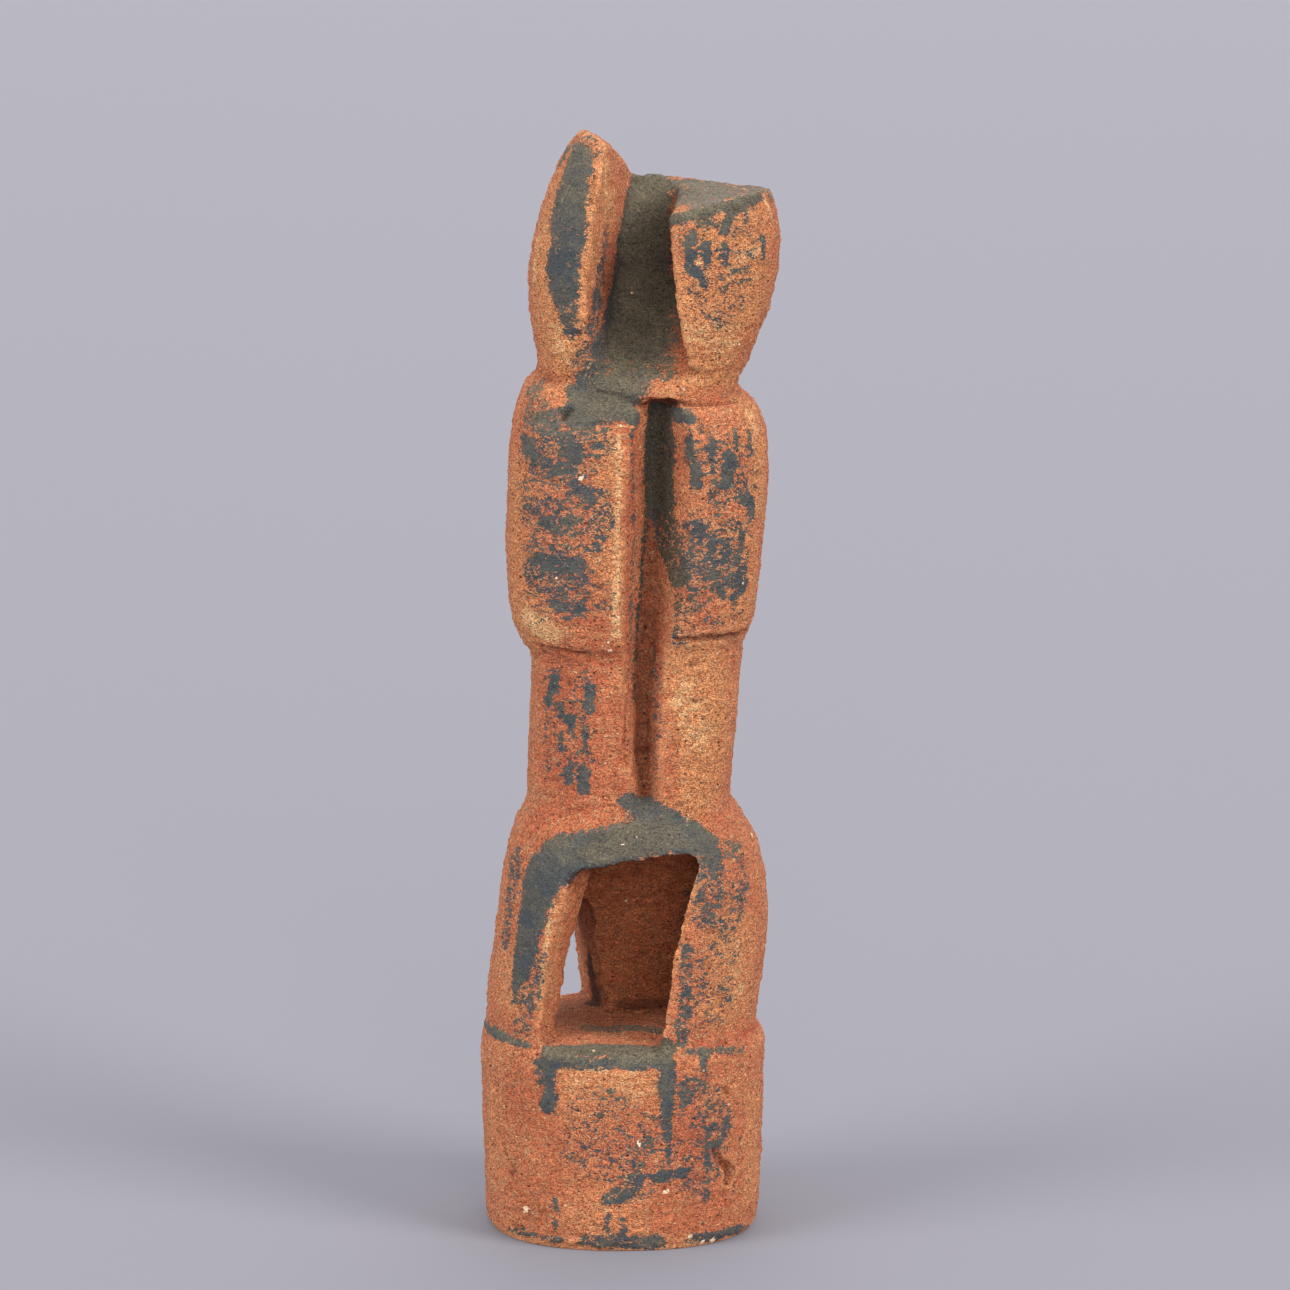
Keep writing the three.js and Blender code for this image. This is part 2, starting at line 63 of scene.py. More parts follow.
# Where the hand worked. Each mark is (strength, [(x, y, z, half width), ...]) along a stroke.
SLIP = {
    "groove wall, streaks": (0.42, [(2.2, -41.8, 331.9, 1.6), (2.1, -34.8, 296, 1.6), (1.3, -34.2, 263.8, 1.6), (0.5, -33.8, 239.5, 1.2)]),
    "scoop, front to back left": (0.93, [(12, -34, 414, 5), (14, -10, 421, 6), (12, 20, 428, 7)]),
    "scoop, middle": (0.85, [(30, -36, 420, 4), (31, -12, 423, 10), (28, 18, 428, 10)]),
    "scoop, right": (0.72, [(46, -30, 423, 4), (47, 0, 425, 9), (42, 22, 427, 8)]),
    "scoop, outer": (0.5, [(55, -10, 425, 5), (54, 12, 425, 6)]),
    "left lobe, front face": (0.95, [(-22, -16.8, 438.1, 3.6), (-21.6, -21.6, 433.7, 6), (-22.7, -25.9, 426.1, 7.5), (-24.6, -29.2, 416.5, 8.3), (-24.6, -33.1, 405.7, 7.5), (-27, -33.2, 393.9, 7.1), (-26.2, -34.1, 388.1, 6.3)]),
    "left lobe, foot of the patch": (0.62, [(-26.2, -34.1, 386.5, 6.3), (-24.2, -35, 379.5, 4.7), (-23.1, -34.9, 371.6, 3.6)]),
    "left lobe, arc at the tip": (0.9, [(-27.3, -9.3, 435.4, 1.6), (-25, -6.1, 440.7, 1.6), (-20.9, -12.7, 443.5, 1.6), (-16.8, -19.9, 440.7, 2), (-15.6, -25.9, 433.9, 2.4)]),
    "left lobe, tip": (0.38, [(-19.3, -11.4, 445.8, 4), (-14.4, -21, 441.5, 4)]),
    "inner wall, specks": (0.45, [(-8.2, -13.8, 412.6, 3.2), (-9.8, -17.4, 401.8, 4.8), (-11.4, -21.4, 386.2, 6)]),
    "inner wall, lower": (0.55, [(-12.5, -25.9, 382.7, 5.6), (-14.4, -31.9, 365.4, 5.1), (-18, -33.4, 354.8, 4.4)]),
    "head channel, top": (1, [(8.5, 26.1, 426.1, 7.3), (6.5, 15.7, 413.4, 9.3), (5.7, 8.8, 399.8, 10.1)]),
    "head channel, middle": (0.97, [(5.7, 8.8, 399.8, 10.1), (4.9, 1.4, 384.3, 12.1), (2.1, -9.8, 369.3, 12.4)]),
    "head channel, foot": (0.9, [(0.5, -10.2, 369.3, 12.4), (-2.6, -23.3, 357.8, 12.7), (0.6, -30.5, 352.1, 8.7)]),
    "head channel, right": (0.6, [(14.9, 0.8, 384.4, 4.8), (15.7, -10.2, 369.3, 5.2), (14, -27.1, 354.2, 4.8)]),
    "right lobe, top edge": (0.95, [(18, -38, 416, 2.4), (28, -37, 418.5, 2.2), (40, -33, 421, 1.9), (52, -22, 424, 1.7)]),
    "right lobe, top inner corner": (0.97, [(16.7, -38.8, 414.4, 1.6), (18.7, -38.4, 415.9, 1.6)]),
    "right lobe, blot": (0.97, [(24.5, -39.5, 408.2, 2), (23.8, -40, 406.2, 1.6)]),
    "right lobe, hook": (0.97, [(24.1, -40.4, 402.3, 1.6), (23.8, -40.7, 396.5, 2), (27.7, -40.4, 393.7, 1.6)]),
    "right lobe, dash 1": (0.93, [(31.6, -36.6, 417.3, 1.6), (31.2, -37.5, 414.3, 1.2)]),
    "right lobe, dash 2": (0.95, [(40.7, -32.6, 420.2, 2.4), (39.5, -34.8, 415.7, 2), (37.5, -36.8, 409.5, 1.2)]),
    "right lobe, dash 3": (0.9, [(30, -39.4, 405.4, 1.2), (31.2, -39.6, 398.8, 1.2)]),
    "right lobe, dash 4": (0.93, [(37.9, -37.8, 404.1, 1.6), (37.9, -37.9, 398.2, 1.6)]),
    "right lobe, dash 5": (0.9, [(52.7, -28.1, 407.3, 1.2), (53.1, -28.1, 399.4, 1.2)]),
    "right lobe, dash 6": (0.8, [(29.3, -40.2, 392.5, 1.2), (29.7, -40.2, 389.4, 1.2)]),
    "right lobe, dash 7": (0.85, [(44.7, -29.1, 423.1, 1.6), (45.9, -29.8, 420, 1.2)]),
    "right lobe, speckle": (0.3, [(28.1, -38.9, 409.3, 8.7), (41.9, -35.3, 409, 9.9), (36, -38.7, 391.6, 11.8), (36, -37.9, 383.7, 9.9)]),
    "left shoulder, cap": (0.97, [(-20, -38.2, 339.4, 5.9), (-11.3, -37.2, 342.5, 7.1), (-2.6, -37.6, 342.2, 6.3), (3.7, -39.2, 336.4, 2.4)]),
    "left shoulder, cap back": (0.95, [(-21.2, -32.7, 346.8, 3.6), (-11.3, -34.7, 349.8, 4), (-1.4, -36.1, 347.9, 4.4)]),
    "left shoulder, end": (0.52, [(-37.3, -20.7, 348.3, 3.6), (-38.3, -28.9, 339.2, 5.6), (-31, -37.2, 334.2, 4.7)]),
    "left block, speckle high": (0.5, [(-35, -37.4, 328.2, 10.3), (-21.1, -42.1, 326.8, 11.8), (-11.2, -42.7, 328.9, 4.7)]),
    "left block, speckle middle": (0.43, [(-31.1, -40.7, 304.8, 14.2), (-17.2, -43.2, 297.1, 11.9), (-29.2, -41.5, 280.9, 13.5)]),
    "left block, speckle low": (0.36, [(-29.2, -41.2, 268.8, 14.3), (-15.3, -43, 265.1, 7.9)]),
    "left block, blot 1": (0.85, [(-41.9, -31.4, 327.1, 2), (-39, -35.2, 324.4, 2.8), (-37, -37.4, 320.7, 1.6)]),
    "left block, blot 2": (0.88, [(-24.7, -41.2, 328.7, 3.2), (-21.5, -42.3, 324, 3.6), (-22.3, -42.5, 318.5, 2.4)]),
    "left block, blot 3": (0.72, [(-21.1, -42.7, 310.6, 2), (-16, -43.2, 307.5, 2.4), (-14.4, -43.4, 305.1, 2)]),
    "left block, band 1": (0.8, [(-37.2, -38.4, 280.5, 2), (-29.2, -41.5, 278.9, 2.8), (-18.4, -43, 278.7, 2)]),
    "left block, band 2": (0.72, [(-30.4, -40.7, 263.5, 2), (-23.3, -42.1, 261.4, 2.4), (-18.5, -42.6, 262.6, 1.6)]),
    "left block, band 3": (0.66, [(-35.1, -39.4, 296.6, 2), (-27.1, -41.9, 295.3, 2.4), (-21.2, -42.9, 297.1, 1.6)]),
    "groove slope, high": (0.93, [(12.5, -24.8, 336.8, 4.8), (13.3, -26.3, 326.9, 6.4), (13.3, -26.8, 315, 6.4), (13.3, -27.3, 303.8, 6)]),
    "groove slope, middle": (0.74, [(13.7, -27.9, 301.1, 6.4), (15.7, -30.9, 287.4, 6.8), (19.6, -37.7, 275.6, 6)]),
    "groove slope, low": (0.42, [(20.4, -39.2, 272.6, 6.4), (22, -41.8, 260.9, 4.8), (20.4, -41.2, 248.8, 3.2)]),
    "groove valley": (0.6, [(8.5, -24.2, 332.7, 1.6), (6.9, -24.7, 294.6, 1.6), (4.5, -27.6, 262.8, 1.6), (2.9, -27.7, 222.2, 1.6)]),
    "right shoulder top": (0.88, [(10.9, -23.8, 339.5, 2.4), (17.2, -30.9, 338.2, 3.2), (24.3, -39.2, 337.2, 2.4)]),
    "right block, oval 1": (0.97, [(26.2, -41.8, 317.6, 2.4), (27, -41.9, 311.7, 2.4)]),
    "right block, oval 2": (0.97, [(38.9, -40.3, 317.5, 2), (38.9, -40.4, 311.1, 2.4)]),
    "right block, oval 3": (0.95, [(23.9, -40.2, 327.4, 2), (24.3, -40.5, 321.4, 2)]),
    "right block, oval 4": (0.9, [(39.7, -39.8, 323.3, 2), (40.9, -39.7, 320.9, 2)]),
    "right block, dash 1": (0.9, [(42.5, -35.6, 332.4, 1), (42.9, -37.8, 325.9, 1)]),
    "right block, dash 2": (0.85, [(48.1, -31.6, 331.2, 1), (48.5, -34.2, 323.1, 1)]),
    "right block, dash 3": (0.85, [(46.9, -35.9, 310.9, 1), (47.4, -35.6, 303.3, 1)]),
    "right block, dash 4": (0.9, [(49, -34.1, 303.9, 1.4), (49.4, -33.4, 297.4, 1.4)]),
    "right block, dash 5": (0.8, [(32.9, -41.1, 328.7, 1), (33.3, -41.9, 316.8, 1)]),
    "right block, dash 6": (0.75, [(44.6, -37.6, 294.4, 1), (45, -36.9, 286.3, 1)]),
    "right block, grid": (0.55, [(25.1, -41.8, 290.9, 5.5), (34.2, -41.5, 280.9, 8.7), (42.3, -37.7, 272.3, 7.2)]),
    "right block, speckle": (0.33, [(28.2, -42.1, 324.8, 8.7), (42.1, -39, 316.5, 10.3), (38.2, -40.6, 292.8, 12.7), (36.3, -40, 264.6, 10.3)]),
    "left waist, diagonal": (0.96, [(-29.1, -33.4, 232.9, 1.4), (-30.7, -32.4, 227.9, 2.4), (-32.8, -30.5, 221.5, 1.6)]),
    "left waist, blot 1": (0.96, [(-15.4, -37.5, 228, 2), (-16.2, -37.3, 221, 2.4)]),
    "left waist, blot 2": (0.9, [(-27.1, -34.4, 220.9, 1.4), (-26.7, -34.5, 216.1, 1.6)]),
    "left waist, blot 3": (0.9, [(-23.9, -35.6, 216.3, 1.6), (-23.5, -35.7, 211, 1.4)]),
    "left waist, blot 4": (0.85, [(-27.5, -34.1, 209.1, 1.2), (-27.1, -34.2, 203.8, 1)]),
    "left waist, dash": (0.8, [(-17.5, -37, 212.5, 1), (-17.5, -36.8, 202.7, 1)]),
    "left waist, blot 5": (0.93, [(-24.7, -35, 195.4, 1.6), (-24.8, -34.9, 190.9, 1.8)]),
    "left waist, blot 6": (0.96, [(-17.9, -36.6, 194.9, 2), (-18.3, -36.4, 187.1, 2.4)]),
    "left waist, speckle": (0.27, [(-25.4, -35.1, 227.6, 10.4), (-23.5, -35.5, 199.2, 10.4)]),
    "right waist, specks": (0.34, [(9.3, -27, 240.4, 2.8), (11.3, -34.5, 215.3, 3.2), (10.5, -33.6, 192.7, 2.8)]),
    "groove foot pool": (0.93, [(-1.1, -37.2, 182.4, 2.8), (6.5, -33.6, 178.4, 5.2), (13.3, -37.4, 175.9, 4.8), (19.7, -37.2, 174.2, 3.2)]),
    "skirt band, right end": (0.9, [(34.6, -38.9, 158.2, 3.6), (31.8, -37.2, 164.8, 5.2), (24.5, -38.9, 168, 6.4)]),
    "skirt band": (0.99, [(24.5, -38.9, 168, 6.4), (14.5, -40.5, 169.2, 6.8), (4.5, -41.8, 167.8, 7.6), (-6.7, -42.7, 165.6, 7.6), (-17.5, -42.4, 163.1, 8), (-27.6, -40.1, 160.1, 8.4)]),
    "left leg, strip top": (0.98, [(-27.6, -40.1, 160.1, 8.4), (-33.6, -38.4, 154, 8.8), (-36.5, -37.6, 148.5, 8.4)]),
    "left leg, strip": (0.97, [(-36.5, -37.6, 148.5, 8), (-39.3, -36.7, 136, 6.9), (-41.8, -35.4, 123.4, 6.1), (-43.5, -34.7, 113.7, 4.9), (-46, -32.7, 106.2, 2.4)]),
    "left leg, scratches": (0.5, [(-46.1, -23.4, 155.8, 4.9), (-49, -23.2, 139.2, 3.7), (-51.1, -22.2, 122.4, 3.3)]),
    "left leg, specks": (0.33, [(-44, -35.6, 100.7, 5.7), (-44, -36.5, 90.5, 5.7)]),
    "left leg, jamb edge": (0.45, [(-33.7, -42.3, 118.8, 2.8), (-39.8, -39.5, 99.5, 3.2)]),
    "skirt, mottled right": (0.55, [(28.5, -41.3, 159.6, 6.4), (33.3, -41.5, 151.4, 6.4), (30.9, -44.6, 137.8, 4.8)]),
    "skirt, specks right": (0.42, [(42.7, -30.1, 161.3, 5.6), (46.8, -30.5, 149.1, 4.8), (38.6, -40.1, 134.7, 7.2)]),
    "right leg, specks": (0.28, [(36.6, -40.8, 118.4, 9.7), (33.5, -40.7, 97.8, 8.9)]),
    "right leg, window edge": (0.6, [(24.2, 6.6, 134.8, 2.1), (23.3, -47.7, 124.1, 2.4), (22.5, -47.1, 103.5, 2.4), (21.8, -46.4, 86.8, 2.8)]),
    "ledge, left": (0.98, [(-59.7, -3.5, 83.6, 1.2), (-54.5, -23.6, 84, 1.8), (-47.3, -35.1, 83.6, 1.6), (-39.4, -41.9, 83.2, 1.2)]),
    "sill pool": (1, [(-32.1, -46.4, 82.7, 3.2), (-21.6, -46.7, 83.2, 3.6), (-7.6, -47.3, 82.9, 4), (4.5, -47.3, 82.9, 4), (14.1, -49.8, 83.9, 4)]),
    "sill pool, hanging edge": (0.93, [(-32.9, -47.9, 78.9, 3.2), (-21.6, -52.1, 78.8, 2.4), (-8.3, -52.6, 78.5, 2), (3.3, -52.3, 78.8, 2.8), (13.3, -52.3, 79.6, 2.4)]),
    "sill, inner haze": (0.7, [(-15.9, -19.7, 85.1, 3.7), (0.4, -19.7, 85.1, 4.1), (10.6, -22.5, 85, 3.7)]),
    "drip neck": (0.99, [(-32.1, -48.5, 77.8, 3.2), (-31.7, -49.2, 71, 2), (-32.1, -48.9, 65.9, 2)]),
    "drip bulb": (1, [(-32.1, -48.8, 62.6, 3.2), (-32.5, -48.5, 60.5, 3.6)]),
    "drip, ragged side": (0.7, [(-36.9, -46.1, 77.6, 2), (-35.3, -47.4, 69.7, 1.6)]),
    "second streak": (0.97, [(15.3, -52.3, 78.4, 3.2), (15.7, -52.9, 71.1, 3.4), (15.3, -52.7, 62.8, 2.8), (15.3, -52.5, 55.3, 1.8), (15.7, -52.2, 47.8, 1)]),
    "second streak, tail": (0.9, [(15.7, -52.2, 47.8, 0.9), (16.2, -51.7, 36.1, 0.6)]),
    "second streak, side": (0.62, [(21.4, -51.2, 69.5, 1.6), (22.2, -50.7, 61, 1.6), (21, -50.9, 57, 1.2)]),
    "third drip": (0.9, [(29.8, -45.1, 81.5, 2), (30.2, -47.1, 76.2, 1.4)]),
    "ledge, right smears": (0.62, [(24.6, -47.5, 81.7, 1.6), (33.5, -42.8, 81.3, 1.6), (47, -31.2, 78.8, 1.6)]),
    "base, smear left": (0.72, [(-9.2, -53, 21.9, 2.4), (-2.8, -53.4, 25.3, 3.2), (4.5, -53.2, 30.7, 2.8)]),
    "base, smear left low": (0.6, [(-4.4, -53.2, 22.3, 1.6), (4.5, -53, 23.5, 1.2), (10.5, -52.4, 25.4, 1.2)]),
    "base, smear right": (0.75, [(10.5, -52.6, 31.3, 2), (15.8, -51.7, 31.5, 2), (22.2, -49.7, 33, 1.6)]),
    "base, long smear": (0.5, [(8.5, -53.4, 47.3, 1.6), (1.3, -53.7, 42.4, 1.6), (2.1, -53.5, 35.7, 1.6)]),
    "base, mark 1": (0.9, [(-29.8, -48.5, 21, 1), (-29.4, -48.6, 16.8, 1)]),
    "base, mark 2": (0.9, [(-29.9, -48.3, 12.2, 1), (-29.5, -48.1, 8.8, 1)]),
    "base, mark 3": (0.85, [(-8.4, -52.8, 15.2, 1), (-8.8, -52.5, 10.1, 1.2)]),
    "base, mark 4": (0.8, [(-2.8, -53.1, 14, 1.2), (-2, -52.6, 8.4, 1.4)]),
    "base, long mark right": (0.75, [(32.3, -45.5, 48.5, 0.8), (31.9, -45.5, 41, 1), (32.4, -44.6, 26.5, 1)]),
    "base, mark right 2": (0.7, [(39.7, -40.1, 52.8, 0.8), (38, -41.2, 44, 0.8), (33.6, -44.4, 41.5, 0.8)]),
    "base, mark right 3": (0.6, [(45.9, -32.7, 43.3, 0.8), (45.5, -32.9, 37.5, 0.8)]),
    "base, speckle right": (0.4, [(28.6, -48.1, 66.6, 7.3), (34.8, -43.9, 48.8, 8.9), (28.7, -46.8, 28.8, 8.9)]),
    "base, haze": (0.3, [(-11.6, -53.9, 57.8, 12.1), (8.5, -53.3, 43.1, 12.1), (-15.6, -53, 43, 12.1)]),
    "foot stain, left": (0.72, [(-57.8, -12.8, 2.6, 1), (-44.3, -38, 4.1, 1.2), (-27.9, -48.2, 4.2, 1.2)]),
    "foot stain, middle": (0.8, [(-17.7, -50.9, 4.6, 2.4), (-3.6, -52.1, 4.1, 2.8), (12.6, -50.7, 3.3, 2.9)]),
    "foot stain, right": (0.72, [(24.7, -47, 3.8, 2.4), (39, -37.5, 3.5, 2), (48.7, -23.9, 3.3, 1.2)]),
}
PALE = {
    "inner wall, upper": (0.45, [(-8.5, -20.6, 435.6, 3.2), (-8.2, -15.4, 419.5, 3.6)]),
    "left block, cream patch": (0.9, [(-40.1, -34.4, 256.5, 3.6), (-35.3, -37.5, 253.4, 5.2), (-30.1, -39.3, 250.9, 4)]),
    "groove lip, cream line": (0.72, [(-4.1, -42.7, 330, 1), (-4.2, -43.5, 305.1, 1), (-4.6, -43.4, 281.2, 1.2), (-5, -43.1, 265.1, 1.4), (-5, -41.9, 249.7, 1.4)]),
    "left leg, cream edge": (0.72, [(-30.4, -42.5, 145.5, 1), (-32.8, -42.2, 129, 1.2), (-35.3, -41.4, 114.5, 1.2), (-37.4, -41, 100.8, 1.2)]),
    "right lobe, cream fleck": (0.75, [(27.3, -40.2, 398.8, 2)]),
    "right lobe, cream ridge": (0.55, [(40.7, -36.8, 396.2, 2), (45.9, -34.2, 400.7, 2.8), (51, -30.5, 403.6, 2)]),
    "right lobe, edge": (0.6, [(53.2, -19.8, 423.7, 1.6), (56.8, -19.6, 415.8, 1.6)]),
    "right lobe, low": (0.4, [(28.2, -38.4, 371.9, 6.3), (38.1, -33.4, 367.5, 7.1)]),
    "left lobe, side": (0.62, [(-36.4, -14.6, 408.7, 1.6), (-36.8, -18.6, 401.9, 1.6), (-38, -18.4, 391.9, 2)]),
    "left lobe, low": (0.42, [(-27.1, -32, 369.3, 6.3), (-23.1, -33.6, 363.5, 5.5)]),
    "left lobe, edge": (0.4, [(-31, -3.9, 430, 1.6), (-34.3, -2.8, 420.7, 1.6)]),
    "window, upper edge": (0.5, [(-11.5, -45.8, 157.2, 1.2), (4.5, -8.2, 151.4, 1.2), (20.8, -4.5, 151, 1.2)]),
    "window, right edge": (0.5, [(25.4, 0.4, 145.8, 1.2), (23, 9.4, 132.1, 1)]),
    "sill edge, white scum": (0.85, [(-16.3, -53.3, 77, 1), (-11.5, -53.4, 77.5, 1), (-7.9, -53.2, 77.8, 0.8)]),
    "sill edge, white scum right": (0.8, [(10.9, -52.9, 78.1, 1)]),
    "foot, grey bloom": (0.5, [(-15.7, -51.4, 6.4, 1.6), (-7.6, -52.1, 5.3, 2)]),
    "base, pale mid": (0.35, [(-15.5, -53.7, 70.1, 8.1), (0.5, -54.5, 68.3, 8.1)]),
    "right waist, pale": (0.4, [(20.5, -37.5, 228, 5.6), (28.5, -34.8, 207.2, 5.6)]),
    "right leg, pale": (0.35, [(42.9, -33.4, 104.3, 5.7), (40.7, -37.8, 121.9, 5.6)]),
    "torso right corner": (0.4, [(48.3, -23.5, 338.6, 2.8), (50.1, -31.1, 327.5, 2)]),
}
RED = {
    # groove wall strokes: painted shade, darker red where the groove's wall lies in shade
    "groove wall": (0.85, [(0.6, -41.8, 332.7, 2.4), (0.9, -37.3, 296.3, 2.4), (0.1, -36.7, 264.1, 2.4), (-0.7, -35.1, 231.6, 2.4), (-1.9, -37.3, 187.3, 2.4)]),
    "channel wall foot": (0.5, [(-6.7, -5.5, 404.9, 1.6), (-9.8, -16.5, 381.8, 2)]),
    "neck, right": (0.55, [(10.5, -23.5, 341.8, 2), (28.3, -32.4, 344.8, 3.2), (44.5, -14.1, 344.4, 2.4)]),
    "neck, left": (0.7, [(-33.3, -20.1, 352.3, 2), (-19.2, -32, 351.5, 2)]),
    "left waist": (0.75, [(-23.4, -36, 235.8, 11.2), (-21.5, -36.2, 215.6, 12), (-21.5, -35.8, 191.1, 12)]),
    # painted shade on the lower groove wall
    "groove wall, low": (0.6, [(-0.3, -36.4, 244, 3.2), (-1.5, -37.9, 215.9, 3.2), (-2.7, -37.3, 187.3, 3.2)]),
    "right waist, groove side": (0.75, [(12.5, -31.7, 247.2, 4.8), (13.3, -37.7, 215.9, 4.8), (15.7, -36.8, 187.2, 4)]),
    "torso foot": (0.5, [(-23.4, -37.7, 242.1, 4.8), (-3.4, -40.6, 244.6, 4)]),
    "torso, low middle": (0.5, [(-19.3, -42.7, 269.1, 7.9), (-11.4, -42.6, 257, 5.6)]),
    "torso, low right": (0.55, [(24.3, -42.1, 265, 5.6), (28.3, -41.2, 254.8, 5.6)]),
    "ledge, right end": (0.95, [(30.7, -43.2, 83.5, 2), (43, -30, 84.4, 2), (52.4, -8.4, 84, 1.6)]),
    "skirt, left shoulder": (0.7, [(-42, -23.5, 168.2, 4), (-33.7, -29.8, 175.6, 3.2)]),
    "base, left": (0.55, [(-43.9, -41.6, 69, 7.3), (-46.1, -38.9, 51.7, 5.7)]),
    "base, middle": (0.5, [(-3.5, -54.1, 51.6, 12.1), (20.6, -51.1, 59.1, 8.1), (-27.8, -49.7, 33.8, 10.5)]),
    "base, right low": (0.7, [(24.7, -48.4, 21, 7.3), (16.6, -50.9, 15.4, 8.1), (36.9, -41, 16.7, 5.7)]),
    "base, right side": (0.6, [(24.6, -49.5, 50.4, 7.3), (28.7, -47.1, 37.2, 6.5)]),
    "base, mid left low": (0.5, [(-36, -45.6, 20.2, 7.3), (-44.2, -39.6, 22.6, 4.9)]),
    "channel, right flank": (0.7, [(19.7, -11.2, 369.4, 2), (20.4, -27.3, 355, 2)]),
    "left lobe, inner wall foot": (0.6, [(-14.4, -32.6, 383.2, 3.2), (-15.2, -32.3, 363.4, 4)]),
    "groove, scoop foot": (0.5, [(28.6, -34, 174.4, 3.2), (36.7, -27.8, 174, 3.2)]),
    "left leg, foot": (0.5, [(-52.4, -26.1, 90.1, 4.1), (-44, -36.5, 86.4, 3.2)]),
}
OCHRE = {
    "left lobe": (0.85, [(-25.1, -25.9, 422.1, 13.5), (-29, -31.8, 383.2, 13.5), (-27.2, -29.8, 359.2, 10.3)]),
    "inner wall": (0.9, [(-8.5, -20.5, 433.6, 6.4), (-7.4, -10.9, 415.2, 6.4)]),
    "right lobe": (0.85, [(41.9, -34.9, 411, 14.2), (38, -37.6, 387.6, 15.8), (32.1, -35.3, 363.7, 11.1)]),
    "neck, right": (0.9, [(28.3, -31.6, 352.2, 4.8), (42.4, -17.3, 350.8, 4)]),
    "right shoulder": (0.9, [(46.4, -18.3, 342.1, 6.4), (51, -27.3, 331.1, 5.6), (52.3, -29.2, 303.3, 4.8)]),
    "torso right": (0.7, [(42.2, -38.3, 280.4, 11.9), (48.4, -29.2, 263, 7.2)]),
    "torso left edge": (0.6, [(-45.2, -28.6, 311.2, 5.6), (-45.3, -30.4, 279.3, 5.6), (-41.4, -32.8, 255.5, 10.4)]),
    "torso left, by the lip": (0.7, [(-7.3, -42.7, 328.9, 4.7), (-8.9, -43.5, 297.2, 4.7), (-9, -43.1, 265.1, 4.8)]),
    "right waist": (0.9, [(26.4, -36.7, 235.9, 11.2), (30.5, -34, 207.1, 12), (28.6, -33.5, 186.6, 8.8)]),
    "right leg": (0.75, [(42.7, -36.3, 125.6, 10.5), (40.8, -34.9, 100.5, 11.3)]),
    "left leg": (0.5, [(-52.4, -21.2, 113.9, 5.7), (-48.1, -31, 99.6, 8.1)]),
    "window edges": (0.8, [(25, 2.5, 142, 2.5), (4.5, -5.6, 149.6, 2.5), (-11.9, -7.5, 147.5, 2.5)]),
    "jamb": (0.6, [(-25.5, -43, 143.6, 3.2), (-29.7, -37.3, 117.6, 3.6), (-33.8, -40.8, 97.8, 3.6)]),
    "base, mid": (0.6, [(-15.6, -53.6, 66, 11.3), (4.5, -54.2, 66.1, 9.7)]),
    "base, left edge": (0.5, [(-55.8, -25.5, 56.5, 4.1), (-56.1, -22.4, 21.9, 4.1)]),
    "base, right edge": (0.6, [(51.3, -24.1, 56.1, 5.7), (50.3, -22.9, 17.8, 5.8)]),
    "base, low": (0.4, [(-27.8, -49.5, 27.5, 12.2), (12.5, -51.7, 13.6, 8.1)]),
}
OLIVE = {
    "scoop, back": (1, [(12, 10, 424, 12), (31, 10, 426, 12), (50, 10, 426, 9)]),
    "scoop, front": (1, [(10, -30, 414, 9), (30, -30, 420, 8), (50, -16, 424, 7)]),
    "channel": (1, [(7.7, 25.1, 424.9, 9.8), (5.7, 7.1, 395.9, 10.5), (4.5, -6.3, 373, 10.4)]),
    "channel foot": (0.7, [(1.3, -17.2, 362, 10.4), (-0.2, -35.6, 349.9, 7.1)]),
    "groove slope": (1, [(13.3, -25.8, 336.9, 5.2), (14.1, -27.9, 311.1, 6.4), (17.2, -33.6, 279.8, 6), (21.2, -41.8, 256.9, 4.8)]),
    "groove valley": (1, [(8.5, -24.2, 332.7, 2), (6.1, -25.4, 278.6, 2), (3.7, -25, 221.7, 2)]),
    "sill": (1, [(-32.1, -46, 83.4, 4), (-11.6, -46, 83.4, 4), (14.1, -48.9, 84.1, 4)]),
    "sill, inner": (1, [(-15.9, -19.7, 85.1, 4.1), (10.6, -22.5, 85, 4.1)]),
    "skirt band, middle": (0.55, [(-11.5, -43.3, 163.2, 6.4), (8.5, -41.6, 167.8, 5.6)]),
    "left shoulder": (0.5, [(-11.3, -37.2, 342.5, 6.3), (-2.6, -38.4, 341.1, 4.7)]),
    "shoulder behind": (0.6, [(-11.3, -34.7, 349.8, 4.8)]),
}
# Painted shade: near-black colour put on the shadowed far jamb and the pillar foot inside the arch.
DEEP_PAINTED_SHADE = {
    "far jamb of the left arch": (1, [(-16.4, 25.9, 102.9, 3.8), (-15.7, 31.3, 90.9, 4.2), (-14, 25.7, 84.6, 4.2)]),
    "pillar foot": (0.6, [(-3.9, 14.5, 86, 2.5), (14.4, 14.5, 86, 2.5)]),
}
FOLDS = {
    "scoop into the channel": (1, [(19, -30, 418, 7), (18, -5, 423, 9), (18, 18, 428, 8)]),
    "channel into the neck": (0.9, [(2, -30, 352, 9), (8, -24, 355, 9)]),
    "groove foot": (0.8, [(8, -38, 178, 7), (12, -40, 174, 6)]),
}
